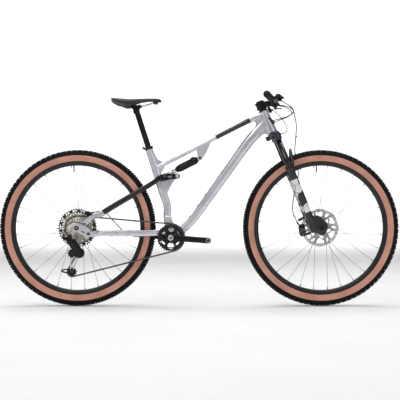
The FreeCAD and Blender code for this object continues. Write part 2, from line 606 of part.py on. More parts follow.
def build_cockpit():
    bar_s = (BAR_CENTRE[0] - STEER_X) * -math.sin(TILT) + (BAR_CENTRE[1] - AXLE_Z) * math.cos(TILT)
    bar_n = (BAR_CENTRE[0] - STEER_X) * math.cos(TILT) + (BAR_CENTRE[1] - AXLE_Z) * math.sin(TILT)
    low, high = STEM_LOW, STEM_TOP
    lug_back = -22.0

    spacer = pipe(steer(HEAD_TOP + 7.7), steer(low - 0.1), 17.8, STEERER_R + FIT)
    cap = fuse(rod(steer(high + 0.1), steer(high + 4), 17.5, 14.0),
               rod(steer(high + 3.5), steer(high + 5.5), 4.5))
    save("steerer_spacers", group(spacer, cap))

    clamp = rod(steer(low), steer(high), 20.0)
    neck = tube([(steer(622, 8), 34, 34, 10), (steer(620, 30), 30, 28, 10),
                 (steer(bar_s, bar_n - 8), 46, 36, 8)])
    front = across(BAR_CENTRE, 20.5, -26, 26)
    lugs = [rod(steer(s, lug_back, -12), steer(s, lug_back, 12), 5.5) for s in (low + 6.5, high - 8)]
    body = fuse(clamp, neck, front, *lugs)
    body = body.cut(rod(steer(low - 5), steer(high + 5), STEERER_R + FIT))
    body = body.cut(across(BAR_CENTRE, BAR_CLAMP_R + TIGHT, -60, 60))
    split = steer(bar_s, bar_n + 3)
    ahead = steer(0, 1) - steer(0)
    block = Part.makeBox(80, 120, 80, V(0, -60, -40))
    lean = FreeCAD.Rotation(V(0, 1, 0), -math.degrees(TILT))
    block.Placement = FreeCAD.Placement(V(split.x, 0, split.z), lean)
    save("stem", body.cut(block))
    block.translate(ahead * 0.8)
    save("stem_faceplate", front.common(block).cut(across(BAR_CENTRE, BAR_CLAMP_R + TIGHT, -60, 60)))
    bolts = []
    for side in (-1, 1):
        for lift in (-16.5, 16.5):
            foot = steer(bar_s + lift, bar_n + 14, side * 19)
            head = rod(foot, foot + ahead * 5.5, 3.6)
            bolts.append(head.cut(across(BAR_CENTRE, 20.55, -26, 26)))
    for s in (low + 6.5, high - 8):
        bolts.append(rod(steer(s, lug_back, 12.1), steer(s, lug_back, 14.5), 4.0))
    save("cockpit_bolts", group(*bolts))

    middle = rod(bar_point(-45), bar_point(45), BAR_CLAMP_R)
    arms = []
    for side in (-1, 1):
        a, b, c = bar_point(side * 44.9), bar_point(side * 95), bar_point(side * BAR_HALF)
        arms.append(rod(a, b, BAR_CLAMP_R, BAR_TIP_R))
        arms.append(rod(b, c, BAR_TIP_R))
    save("handlebar", fuse(middle, *arms))

    grips = []
    for side in (-1, 1):
        a, b = bar_point(side * 236), bar_point(side * (BAR_HALF - 2))
        bore = rod(bar_point(side * 200), bar_point(side * 390), BAR_TIP_R + TIGHT)
        grips.append(rod(a, b, 15.5).cut(bore))
        grips.append(rod(bar_point(side * (BAR_HALF + 0.2)), bar_point(side * (BAR_HALF + 2)), 15.0))
    save("grips", group(*grips))

    save("brake_cylinders", group(master_cylinder(-1, REAR_HOSE_FRONT), master_cylinder(1, FRONT_HOSE)))
    save("brake_lever_right", brake_lever(-1))
    save("brake_lever_left", brake_lever(1))
    build_triggers()


def clamp_on_bar(y, side, half=6.0):
    a, b = bar_point(side * (y - half)), bar_point(side * (y + half))
    bore = rod(bar_point(side * (y - 20)), bar_point(side * (y + 20)), BAR_TIP_R + TIGHT)
    return rod(a, b, 15.5).cut(bore)


LEVER_PIVOT_Y = 190.0


def lever_pivot(side, up=0.0):
    return bar_point(side * LEVER_PIVOT_Y, 42, -2 + up)


def master_cylinder(side, route):
    """Clamp, cylinder and tank of one brake, with the lever's pin and the hose nut."""
    clamp = clamp_on_bar(212, side)
    stalk = beam(bar_point(side * 212, 13, 0), bar_point(side * 206, 30, 2), 12, 14)
    barrel = rod(bar_point(side * 216, 30, 4), bar_point(side * 150, 38, -2), 10.0)
    tank = beam(bar_point(side * 206, 34, 12), bar_point(side * 166, 38, 11), 22, 14)
    ears = rod(lever_pivot(side, -9), lever_pivot(side, 9), 7.0)
    body = fuse(clamp, stalk, barrel, tank, gland(route, 16, 4.5), ears)
    body = body.cut(Part.makeBox(44, 44, 9.0, lever_pivot(side) + V(-10, -22, -4.5)))
    body = body.cut(rod(bar_point(side * 190), bar_point(side * 232), BAR_TIP_R + TIGHT))
    return fuse(body, rod(lever_pivot(side, -9), lever_pivot(side, 9), 2.4))


def brake_lever(side):
    """A blade that hangs ahead of the grip and pivots on the cylinder's pin."""
    pivot = lever_pivot(side)
    pts = [pivot, bar_point(side * 222, 60, -2), bar_point(side * 262, 58, -5),
           bar_point(side * 300, 60, -8), bar_point(side * 318, 66, -9)]
    widths = (8.0, 8.2, 8.2, 8.4, 8.4)
    thick = (9.0, 7.0, 6.0, 6.0, 5.0)
    wires = []
    for i, p in enumerate(pts):
        d = pts[min(i + 1, 4)] - pts[max(i - 1, 0)]
        t = V(d).normalize()
        up = V(0, 0, 1)
        up = (up - t * up.dot(t)).normalize()
        out = t.cross(up)
        w, h = widths[i] / 2, thick[i] / 2
        corners = [p + up * w + out * h, p + up * w - out * h, p - up * w - out * h, p - up * w + out * h]
        wires.append(Part.makePolygon(corners + corners[:1]))
    blade = Part.makeLoft(wires, True, True)
    eye = rod(pivot + V(0, 0, -4.1), pivot + V(0, 0, 4.1), 6.0)
    tip = rod(pts[-1] + V(0, 0, -4.2), pts[-1] + V(0, 0, 4.2), 4.0)
    whole = fuse(blade, eye, tip)
    return whole.cut(rod(pivot + V(0, 0, -20), pivot + V(0, 0, 20), 2.4 + FIT))


def build_triggers():
    y, ahead, up = 176.0, 20.0, -24.0
    top = bar_point(-y, ahead, up + 3)
    low = bar_point(-y, ahead, up - 11)
    case = rod(low, top, 19.0)
    hang = beam(bar_point(-184, 4, -10), bar_point(-180, 14, -28), 14, 12)
    ringp = clamp_on_bar(184, -1, 5.0)
    port = gland(SHIFT_FRONT, 24, 4.5)
    body = fuse(case, hang, ringp, port).cut(rod(bar_point(-160), bar_point(-206), BAR_TIP_R + TIGHT))
    peg = rod(bar_point(-y, ahead, up - 11), bar_point(-y, ahead, up - 28), 3.0)
    body = fuse(body, peg)
    save("shifter_body", body)
    for name, z0, out, tip_x in (("shift_lever", -12.0, 34, -6), ("release_lever", -20.0, 26, 30)):
        eye = rod(bar_point(-y, ahead, up + z0 - 6), bar_point(-y, ahead, up + z0), 8.5)
        paddle = beam(bar_point(-y - 4, ahead + tip_x * 0.1, up + z0 - 3),
                      bar_point(-y - out, ahead + tip_x, up + z0 - 3), 10, 5)
        lever = fuse(eye, paddle)
        save(name, lever.cut(rod(bar_point(-y, ahead, up - 60), bar_point(-y, ahead, up + 5), 3.0 + FIT)))

    ring_l = clamp_on_bar(178, 1, 5.0)
    post_a, post_b = bar_point(178, 6, -13), bar_point(172, 14, -27)
    base = fuse(ring_l, beam(post_a, post_b, 12, 12),
                rod(bar_point(172, 14, -24), bar_point(172, 14, -33), 13.0))
    base = base.cut(rod(bar_point(160), bar_point(200), BAR_TIP_R + TIGHT))
    peg = rod(bar_point(172, 14, -32), bar_point(172, 14, -42), 3.0)
    save("lockout_remote", fuse(base, peg, gland(LOCKOUT_CABLE, 12, 4.0)))
    lever = fuse(rod(bar_point(172, 14, -41), bar_point(172, 14, -33.4), 9.0),
                 beam(bar_point(178, 13, -37.2), bar_point(208, 10, -37.2), 11, 6))
    save("lockout_lever", lever.cut(rod(bar_point(172, 14, -60), bar_point(172, 14, -20), 3.0 + FIT)))


# ---------------------------------------------------------------- rear triangle and shock
def build_rear():
    sides = []
    stay_points = [(at(-140, 362, 38), 13, 24, 5), (at(-172, 352, 38.5), 12.5, 26, 5),
                   (at(-205, 345, 39.5), 12.5, 27, 5), (at(-260, 343, 45), 14, 27, 6),
                   (at(-330, 343, 54), 15, 27, 6), (at(-420, 343, 64), 14, 26, 6),
                   (at(-470, 342.5, 67.6), 11.5, 24, 5), (at(-512, 341.3, 68), 10.6, 20, 4)]
    for side in (-1, 1):
        pts = [(V(c.x, side * c.y, c.z), w, h, r) for c, w, h, r in stay_points]
        y0, y1 = sorted((side * 30.3, side * 45.6))
        ear = across(MAIN_PIVOT, 15.3, y0, y1)
        y2, y3 = sorted((side * 62.6, side * 73.4))
        eye = across(STAY_PIVOT, 11.0, y2, y3)
        sides.append(fuse(ear, tube(pts), eye))
    ports = [gland(SHIFT_BACK, 9, 3.8), gland(REAR_HOSE_BACK, 12, 4.2)]
    stays = []
    for side, port in zip(sides, ports):
        stay = fuse(side, port).cut(across(MAIN_PIVOT, 7.5 + FIT, -60, 60))
        stay = stay.cut(across(STAY_PIVOT, 5.0 + TIGHT, -90, 90))
        stays.append(stay.cut(across(BB, 24.0, -60, 60)))
    bridge = rod(at(-181, 351, -40), at(-181, 351, 40), 7.0).cut(group(*stays))
    save("chainstay", group(*stays, bridge))

    pins = []
    for side in (-1, 1):
        y0, y1 = sorted((side * 62.8, side * 82.4))
        y2, y3 = sorted((side * 82.4, side * 84.4))
        pins.append(fuse(across(STAY_PIVOT, 5.0, y0, y1), across(STAY_PIVOT, 8.0, y2, y3)))
    save("stay_pivot_bolts", group(*pins))

    seat_sides = []
    for side in (-1, 1):
        y0, y1 = sorted((side * 74.1, side * 81.8))
        plate = fuse(bar(REAR_AXLE, 16.5, STAY_PIVOT, 12.5, y0, y1),
                     bar(REAR_AXLE, 16.5, (-484, 421), 12.0, y0, y1),
                     bar(STAY_PIVOT, 10.0, (-488, 400), 7.0, y0, y1))
        ss = [(at(-492, 416.5, 76.5), 9, 20, 4), (at(-462, 434, 73.5), 12, 23, 5),
              (at(-420, 460.5, 66), 13, 24, 6), (at(-340, 508, 55), 13, 23.5, 6),
              (at(-260, 555, 43), 12, 22.5, 5), (at(-222, 578, 35.2), 9.8, 22, 4),
              (at(-196, 596, 32.8), 9.4, 22, 4)]
        arm = tube([(V(c.x, side * c.y, c.z), w, h, r) for c, w, h, r in ss])
        y2, y3 = sorted((side * 27.9, side * 37.2))
        eye = across(ROCKER_STAY, 13.0, y2, y3)
        one = fuse(plate, arm, eye)
        one = one.cut(across(ROCKER_STAY, OPEN_PIVOT_R, -60, 60))
        one = one.cut(across(STAY_PIVOT, 5.0 + FIT, -90, 90))
        one = one.cut(across(REAR_AXLE, REAR_AXLE_R + TIGHT, -100, 100))
        seat_sides.append(one)
    save("seatstay", group(*seat_sides))

    axle = fuse(across(REAR_AXLE, REAR_AXLE_R, -84, 84), across(REAR_AXLE, 9.5, 82.0, 86.5))
    end_cap = ring(REAR_AXLE, 9.5, REAR_AXLE_R + TIGHT, 69.9, 73.9)
    save("rear_axle", group(axle, end_cap))
    squeeze = caliper(REAR_AXLE, REAR_ROTOR_R, 49.4, REAR_ROTOR_Y, 46)
    foot = fuse(across((-512, 411), 6, 64, 74.0), across((-537, 433), 5, 64, 70))
    save("rear_caliper", fuse(squeeze, foot, gland(REAR_HOSE_BACK[::-1], 20, 4.2)))

    hanger = fuse(bar(REAR_AXLE, 13, HANGER_BOLT, 9, -73.9, -70.2), across(HANGER_BOLT, 9, -73.9, -66))
    save("derailleur_hanger", hanger.cut(across(REAR_AXLE, REAR_AXLE_R + TIGHT, -90, -60)))

    blades = []
    for side in (-1, 1):
        y0, y1 = sorted((side * 21.0, side * 27.0))
        blade = fuse(bar(ROCKER_PIVOT, 13, ROCKER_STAY, 12.5, y0, y1),
                     bar(ROCKER_PIVOT, 11, ROCKER_SHOCK, 11, y0, y1),
                     bar(ROCKER_SHOCK, 10, ROCKER_STAY, 11, y0, y1))
        y2, y3 = sorted((side * 26.8, side * 38.8))
        y4, y5 = sorted((side * 38.8, side * 41.2))
        pin = fuse(across(ROCKER_STAY, 4.0, y2, y3), across(ROCKER_STAY, 11.5, y4, y5))
        blades.append(fuse(blade, pin).cut(across(ROCKER_PIVOT, 6.0 + FIT, -60, 60)))
    pin = across(ROCKER_SHOCK, 4.0, -20.98, 20.98)
    spacers = [ring(ROCKER_SHOCK, 6.5, 4.02, 11.6, 20.96), ring(ROCKER_SHOCK, 6.5, 4.02, -20.96, -11.6)]
    save("rocker_link", group(*blades, pin, *spacers))


def build_shock():
    front, rear = at(*SHOCK_FRONT), at(*ROCKER_SHOCK)
    length = (rear - front).Length

    def on(t, lift=0.0):
        d = (rear - front).normalize()
        up = V(d.z, 0, -d.x)
        return front + d * t + up * lift

    can = fuse(across(SHOCK_FRONT, 10.0, -11.5, 11.5), rod(on(8), on(14), 11.0),
               rod(on(14), on(20), 11.0, 17.0), rod(on(18), on(104), 18.0),
               rod(on(104), on(122), 18.0, 13.0), rod(on(30, 15), on(30, 24), 6.5),
               rod(on(34, 19), on(22, 22), 3.5))
    can = can.cut(across(SHOCK_FRONT, 4.0 + FIT, -30, 30)).cut(rod(on(66), on(140), 10.0 + FIT))
    save("shock_body", can)
    eye = across(ROCKER_SHOCK, 8.5, -11.0, 11.0)
    shaft = fuse(rod(on(108), on(length - 5), 10.0), eye, rod(on(length - 13), on(length - 5), 10.0, 8.0))
    save("shock_shaft", shaft.cut(across(ROCKER_SHOCK, 6.4, -30, 30)))


# ---------------------------------------------------------------- drivetrain
def pitch_radius(teeth):
    return CHAIN_PITCH / 2 / math.sin(math.pi / teeth)


def toothed_disc(centre, teeth, y0, y1, phase):
    """A sprocket blank: a gap for each roller, at the angles phase + k * 360 / teeth."""
    rp = pitch_radius(teeth)
    root, tip = rp - ROLLER_R - 0.25, rp + 2.4
    step = 2 * math.pi / teeth
    pts = []
    for k in range(teeth):
        a = phase + k * step
        for f, r in ((0.0, root), (0.24, root + 0.7), (0.42, tip), (0.58, tip), (0.76, root + 0.7)):
            b = a + f * step
            pts.append(at(centre[0] + r * math.cos(b), centre[1] + r * math.sin(b), y0))
    face = Part.Face(Part.makePolygon(pts + pts[:1]))
    return face.extrude(V(0, y1 - y0, 0))


def tangent(c0, r0, c1, r1, turn0, turn1):
    """Tangent points of a chain run that leaves wheel 0 and meets wheel 1.

    turn is +1 on a wheel that the chain goes round clockwise, seen from the drive side.
    """
    dx, dz = c1[0] - c0[0], c1[1] - c0[1]
    d = math.hypot(dx, dz)
    base = math.atan2(dz, dx)
    k = (turn0 * r0 - turn1 * r1) / d
    lean = math.acos(k)
    a = base + lean
    p0 = (c0[0] + turn0 * r0 * math.cos(a), c0[1] + turn0 * r0 * math.sin(a))
    p1 = (c1[0] + turn1 * r1 * math.cos(a), c1[1] + turn1 * r1 * math.sin(a))
    return p0, p1


def chain_route(tension):
    """Wheels in the order that the chain meets them, each with its arc and the run after it."""
    wheels = [(REAR_AXLE, COGS[CHAIN_COG], 1, CHAIN_COG_Y), (BB, RING_TEETH, 1, RING_Y),
              (tension, PULLEY_TEETH, 1, CHAIN_COG_Y), (GUIDE_PULLEY, PULLEY_TEETH, -1, CHAIN_COG_Y)]
    runs = []
    n = len(wheels)
    for i in range(n):
        c0, t0, s0, y0 = wheels[i]
        c1, t1, s1, y1 = wheels[(i + 1) % n]
        runs.append(tangent(c0, pitch_radius(t0), c1, pitch_radius(t1), s0, s1))
    route = []
    for i in range(n):
        c, teeth, turn, y = wheels[i]
        came, leaves = runs[i - 1][1], runs[i][0]
        a0 = math.atan2(came[1] - c[1], came[0] - c[0])
        a1 = math.atan2(leaves[1] - c[1], leaves[0] - c[0])
        sweep = (a0 - a1) % (2 * math.pi) if turn > 0 else (a1 - a0) % (2 * math.pi)
        links = sweep * teeth / (2 * math.pi)
        route.append(("arc", links, c, pitch_radius(teeth), a0, -turn * sweep, y))
        p0, p1 = runs[i]
        run = math.hypot(p1[0] - p0[0], p1[1] - p0[1])
        route.append(("run", run / CHAIN_PITCH, p0, p1, y, wheels[(i + 1) % n][3]))
    return route


def route_links(route):
    return sum(piece[1] for piece in route)


def fitted_tension_pulley():
    """The tension pulley swings about the guide pulley until the chain has a whole even length."""
    dx, dz = TENSION_PULLEY[0] - GUIDE_PULLEY[0], TENSION_PULLEY[1] - GUIDE_PULLEY[1]
    reach, angle = math.hypot(dx, dz), math.atan2(dz, dx)

    def place(a):
        return (GUIDE_PULLEY[0] + reach * math.cos(a), GUIDE_PULLEY[1] + reach * math.sin(a))

    want = 2 * round(route_links(chain_route(place(angle))) / 2)
    low, high = angle - 0.5, angle + 0.5
    for _ in range(60):
        mid = (low + high) / 2
        longer = route_links(chain_route(place(mid))) > want
        rising = route_links(chain_route(place(high))) > route_links(chain_route(place(low)))
        if longer == rising:
            high = mid
        else:
            low = mid
    return place((low + high) / 2), want


def route_point(route, k):
    """The place of roller k, counted in links along the route."""
    for piece in route:
        if k < piece[1]:
            break
        k -= piece[1]
    else:
        piece, k = route[0], 0.0
    share = k / piece[1]
    if piece[0] == "arc":
        _, _, c, r, a0, sweep, y = piece
        a = a0 + sweep * share
        return at(c[0] + r * math.cos(a), c[1] + r * math.sin(a), y)
    _, _, p0, p1, y0, y1 = piece
    return at(p0[0] + (p1[0] - p0[0]) * share, p0[1] + (p1[1] - p0[1]) * share, y0 + (y1 - y0) * share)


def phase_on(route, index):
    """The angle of the first roller that lies on the arc with this index."""
    before = sum(piece[1] for piece in route[:index])
    first = math.ceil(before - 1e-9)
    p = route_point(route, first + 1e-9)
    c = route[index][2]
    return math.atan2(p.z - c[1], p.x - c[0])


def build_drivetrain():
    tension, links = fitted_tension_pulley()
    route = chain_route(tension)
    print("chain links", links, "tension pulley at", [round(v, 2) for v in tension])
    ring_phase, cog_phase = phase_on(route, 2), phase_on(route, 0)

    cogs = []
    for i, teeth in enumerate(COGS):
        y = SMALL_COG_Y + i * COG_STEP
        phase = cog_phase if i == CHAIN_COG else cog_phase + i * 0.11
        disc = toothed_disc(REAR_AXLE, teeth, y - TOOTH_HALF, y + TOOTH_HALF, phase)
        rp = pitch_radius(teeth)
        if rp > 38:
            windows = []
            arms = 6
            r_in, r_out = max(rp - 26, 20.0), rp - 10
            r_mid = (r_in + r_out) / 2
            r_hole = min((r_out - r_in) * 0.38, r_mid * math.pi / arms / 2 - 1.2)
            for k in range(arms * 2):
                a = math.pi * (k + 0.5 * (i % 2)) / arms
                middle = (REAR_AXLE[0] + r_mid * math.cos(a), REAR_AXLE[1] + r_mid * math.sin(a))
                windows.append(across(middle, r_hole, y - 2, y + 2))
            disc = disc.cut(group(*windows))
        cogs.append(disc)
    sleeve = across(REAR_AXLE, 14.5, -68.9, SMALL_COG_Y + 11 * COG_STEP + 1.5)
    cassette = fuse(sleeve, *cogs).cut(across(REAR_AXLE, REAR_AXLE_R + FIT, -100, 0))
    save("cassette", cassette)

    ring_disc = toothed_disc(BB, RING_TEETH, RING_Y - TOOTH_HALF, RING_Y + TOOTH_HALF, ring_phase)
    low, high = RING_Y - 3, RING_Y + 3
    slots = (((-178, 304), (-166, 296), 5.0), ((-105, 293), (-96, 299), 4.5),
             ((-166, 344), (-166, 330), 7.0), ((-99, 349), (-92, 340), 6.0))
    holes = [bar(a, r, b, r, low, high) for a, b, r in slots]
    holes += [across((-134, 284), 15.0, low, high), across((-131, 362), 14.0, low, high),
              across(BB, 15.1, low, high)]
    boss = ring(BB, 22.0, 15.1, -56.8, RING_Y - 0.6)
    save("chainring", fuse(ring_disc.cut(group(*holes)), boss))

    build_cranks()

    for name, centre, arc in (("tension_pulley", tension, 4), ("guide_pulley", GUIDE_PULLEY, 6)):
        wheel = toothed_disc(centre, PULLEY_TEETH, CHAIN_COG_Y - TOOTH_HALF, CHAIN_COG_Y + TOOTH_HALF,
                             phase_on(route, arc))
        wheel = fuse(wheel, ring(centre, 8.0, 2.6, CHAIN_COG_Y - 3.2, CHAIN_COG_Y + 3.2))
        wheel = wheel.cut(across(centre, 2.5 + FIT, CHAIN_COG_Y - 9, CHAIN_COG_Y + 9))
        save(name, wheel)

    build_derailleur(tension)
    save("chain", chain(route, links))


def build_cranks():
    drop = math.radians(CRANK_DROP)
    tip = (BB[0] + CRANK_LENGTH * math.cos(drop), BB[1] - CRANK_LENGTH * math.sin(drop))

    def arm(side):
        sign = -1 if side < 0 else 1
        pts = []
        for t, y, w, h in ((0.0, 66.5, 15, 36), (0.25, 69.5, 15, 31), (0.6, 75.5, 14.5, 27.5),
                           (1.0, 79.0, 14, 27)):
            x = BB[0] + (tip[0] - BB[0]) * t
            z = BB[1] + (tip[1] - BB[1]) * t
            if side > 0:
                x, z = 2 * BB[0] - x, 2 * BB[1] - z
            pts.append((at(x, z, sign * y), w, h, 5))
        end = pts[-1][0]
        y0, y1 = sorted((sign * 57.0, sign * 74.0))
        boss = across(BB, 19.0, y0, y1)
        y2, y3 = sorted((sign * 72.0, sign * 86.0))
        eye = across((end.x, end.z), 14.5, y2, y3)
        body = fuse(boss, tube(pts), eye)
        return body.cut(across((end.x, end.z), PEDAL_R, -100, 100))

    bore = across(BB, 12.02, -80, 0)
    right = arm(-1).cut(bore)
    save("crank_arm_right", fuse(right, across(BB, 12.5, -75.5, -73.5)).cut(across(BB, 12.02, -73.6, 0)))
    spindle = across(BB, 12.0, -73.4, 70)
    save("crank_arm_left", group(arm(1).cut(across(BB, 12.02, 0, 70.02)), spindle))


def build_derailleur(tension):
    knuckle = fuse(across(UPPER_KNUCKLE, 15.0, -90.0, -74.4),
                   bar(HANGER_BOLT, 9.5, UPPER_KNUCKLE, 12, -84, -74.4),
                   bar(UPPER_KNUCKLE, 12, BARREL_FOOT, 5.5, -86, -76), gland(SHIFT_BACK[::-1], 15, 4.5))
    save("derailleur_knuckle", knuckle)
    links = fuse(beam(at(-598, 302, -81), at(-566, 262, -64), 12, 12),
                 beam(at(-586, 318, -82), at(-556, 276, -66), 9, 9))
    arm = fuse(links.cut(across(UPPER_KNUCKLE, 15.15, -95, -70)), across(LOWER_KNUCKLE, 24.0, -72.0, -49.6))
    save("derailleur_arm", arm)

    slot = bar((-603, 190), 3.5, (-599, 222), 3.5, -60, -30)
    plates = []
    for y0, y1 in ((-48.2, -46.4), (-36.4, -34.6)):
        plates.append(fuse(bar(GUIDE_PULLEY, 11, tension, 12, y0, y1),
                           bar(tension, 12, CAGE_TIP, 9, y0, y1)))
    plates.append(bar(GUIDE_PULLEY, 10, LOWER_KNUCKLE, 14, -48.2, -46.4))
    pins = [across(c, 2.5, -47, -35) for c in (GUIDE_PULLEY, tension, CAGE_TIP)]
    pivot = across(LOWER_KNUCKLE, 8.0, -49.5, -46.5)
    save("derailleur_cage", fuse(fuse(*plates).cut(slot), *pins, pivot))


def chain(route, links):
    """Inner links with rollers and outer links with pins, alternately."""
    half_in, half_out = 1.15, 1.95

    def link(outer):
        a, b = (0.0, 0.0), (CHAIN_PITCH, 0.0)
        y0, y1 = (half_out, half_out + 0.65) if outer else (half_in, half_in + 0.75)
        plates = []
        for s in (-1, 1):
            lo, hi = sorted((s * y0, s * y1))
            plates.append(fuse(bar(a, 4.0, (CHAIN_PITCH * 0.5, 0), 3.2, lo, hi),
                               bar(b, 4.0, (CHAIN_PITCH * 0.5, 0), 3.2, lo, hi)))
        pins = [across(c, 1.7 if outer else ROLLER_R, -y1, y1) for c in (a, b)]
        whole = fuse(*plates, *pins)
        if not outer:
            whole = whole.cut(group(across(a, 1.8, -9, 9), across(b, 1.8, -9, 9)))
        return whole

    kinds = (link(False), link(True))
    out = []
    for k in range(links):
        p, q = route_point(route, k), route_point(route, (k + 1) % links)
        d = q - p
        piece = kinds[k % 2].copy()
        flat = FreeCAD.Rotation(V(0, 1, 0), -math.degrees(math.atan2(d.z, d.x)))
        yaw = FreeCAD.Rotation(V(0, 0, 1), math.degrees(math.asin(d.y / d.Length)))
        piece.Placement = FreeCAD.Placement(p, flat.multiply(yaw))
        out.append(piece)
    return group(*out)


# ---------------------------------------------------------------- hoses
def build_hoses():
    save("front_brake_hose", hose(FRONT_HOSE, 2.5))
    save("rear_brake_hose", group(hose(REAR_HOSE_FRONT, 2.5), hose(REAR_HOSE_BACK, 2.5)))
    save("control_cables", group(hose(SHIFT_FRONT, 2.2), hose(SHIFT_BACK, 2.2), hose(LOCKOUT_CABLE, 2.0)))


build_wheels()
build_frame()
build_saddle()
build_fork()
build_cockpit()
build_rear()
build_shock()
build_drivetrain()
build_hoses()
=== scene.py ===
import math

import bmesh
import bpy
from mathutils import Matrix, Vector


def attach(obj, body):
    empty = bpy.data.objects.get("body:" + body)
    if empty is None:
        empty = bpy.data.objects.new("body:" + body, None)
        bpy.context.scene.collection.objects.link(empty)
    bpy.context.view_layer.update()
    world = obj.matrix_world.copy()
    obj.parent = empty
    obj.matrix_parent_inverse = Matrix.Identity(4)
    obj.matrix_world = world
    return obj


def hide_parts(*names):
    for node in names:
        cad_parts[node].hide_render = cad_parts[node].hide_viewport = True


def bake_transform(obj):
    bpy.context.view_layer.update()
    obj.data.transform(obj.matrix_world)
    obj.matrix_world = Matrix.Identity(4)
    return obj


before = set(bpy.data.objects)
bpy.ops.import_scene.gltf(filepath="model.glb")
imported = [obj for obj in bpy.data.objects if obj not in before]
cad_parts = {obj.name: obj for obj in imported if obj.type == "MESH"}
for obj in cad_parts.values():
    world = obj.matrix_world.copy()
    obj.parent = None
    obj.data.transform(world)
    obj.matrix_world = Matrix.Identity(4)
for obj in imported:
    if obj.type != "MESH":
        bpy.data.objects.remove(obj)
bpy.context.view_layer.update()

# Places below are in millimetres in the frame's own axes; mm() turns them into metres.
WHEEL_R = 368.0
AXLE_Z = 368.0
FRONT_AXLE = (572.0, 368.0)
REAR_AXLE = (-572.0, 368.0)
TILT = math.radians(22)
STEER_X = 524.5
LEG_AHEAD = 9.5
LEG_Y = 66.0
HEAD_LOW, HEAD_TOP = 484.5, 593.0
SEAT_SLOPE = -0.3226
SEAT_REF = (-244.4, 760.0)
BB = (-134.0, 323.0)
MAIN_PIVOT = (-133.0, 362.0)
STAY_PIVOT = (-517.0, 341.0)
ROCKER_PIVOT = (-103.0, 612.0)
ROCKER_SHOCK = (-163.0, 613.0)
ROCKER_STAY = (-190.0, 600.0)
SHOCK_FRONT = (3.0, 697.0)
BAR_CENTRE = (350.0, 960.0)
BAR_STRAIGHT = 45.0
BAR_SWEEP = math.radians(9)
BAR_RISE = 0.0275
TOP_TUBE_SLOPE = 0.512
TOP_TUBE_X, TOP_TUBE_Z = -150.0, 677.2
RING_Y = -50.0
GUIDE_PULLEY = (-596.0, 250.0)
TENSION_PULLEY = (-595.83, 162.86)
LOWER_KNUCKLE = (-560.0, 252.0)
CAGE_TIP = (-640.0, 168.0)
PITCH = 12.7
COG_PHASE = 3.949
COG_TEETH = (10, 12, 14, 16, 18, 21, 24, 28, 32, 36, 40, 45)
COG_GAP = 3.65
CHAIN_COG = 28
# Where the chain's stretches meet: round the ring, round the cogs and the cage, and the two runs.
RING_REACH, RING_BACK = 72, -150
COGS_FROM, CAGE_FROM = -490, -560
RUN_TOP, RUN_LOW, RUN_MIDDLE = 330, 270, -330
CRANK_LENGTH = 175
CRANK_DROP = math.radians(4.2)
SPOKES = 28
VALVE_ANGLE = -4
TREAD_STEPS = 88
STEM_BOLTS = (609.5, 633)
# The camera looks square at the bicycle's right side; the floor bends up into a wall behind it.
LENS, SENSOR = 114.45, 36.0
CAMERA_PLACE = (0.0031, -6.0, 0.4992)
FLOOR_HALF, FLOOR_FRONT, WALL_TOP = 16.0, -14.0, 14.0
BEND_START, BEND_R = 11.0, 3.0


def mm(x, y, z):
    return Vector((x, y, z)) * 0.001


def at(x, z, y=0.0):
    return mm(x, y, z)


def steer(s, n=0.0, y=0.0):
    """A point s up the steering axis from axle height, n ahead of it and y to the left."""
    return mm(STEER_X - s * math.sin(TILT) + n * math.cos(TILT), y,
        AXLE_Z + s * math.cos(TILT) + n * math.sin(TILT))


def seat(z, y=0.0):
    return mm(SEAT_REF[0] + (z - SEAT_REF[1]) * SEAT_SLOPE, y, z)


def top_tube_z(x):
    return TOP_TUBE_Z + (x - TOP_TUBE_X) * TOP_TUBE_SLOPE


def top_tube(x):
    return at(x, top_tube_z(x))


def bar_point(y, forward=0.0, up=0.0):
    outboard = max(abs(y) - BAR_STRAIGHT, 0)
    return mm(BAR_CENTRE[0] - outboard * math.tan(BAR_SWEEP) + forward, y,
        BAR_CENTRE[1] + outboard * BAR_RISE + up)


def placed(name, data, mats=()):
    """A new object in the scene with this data and materials."""
    for mat in mats:
        data.materials.append(mat)
    obj = bpy.data.objects.new(name, data)
    bpy.context.scene.collection.objects.link(obj)
    return obj


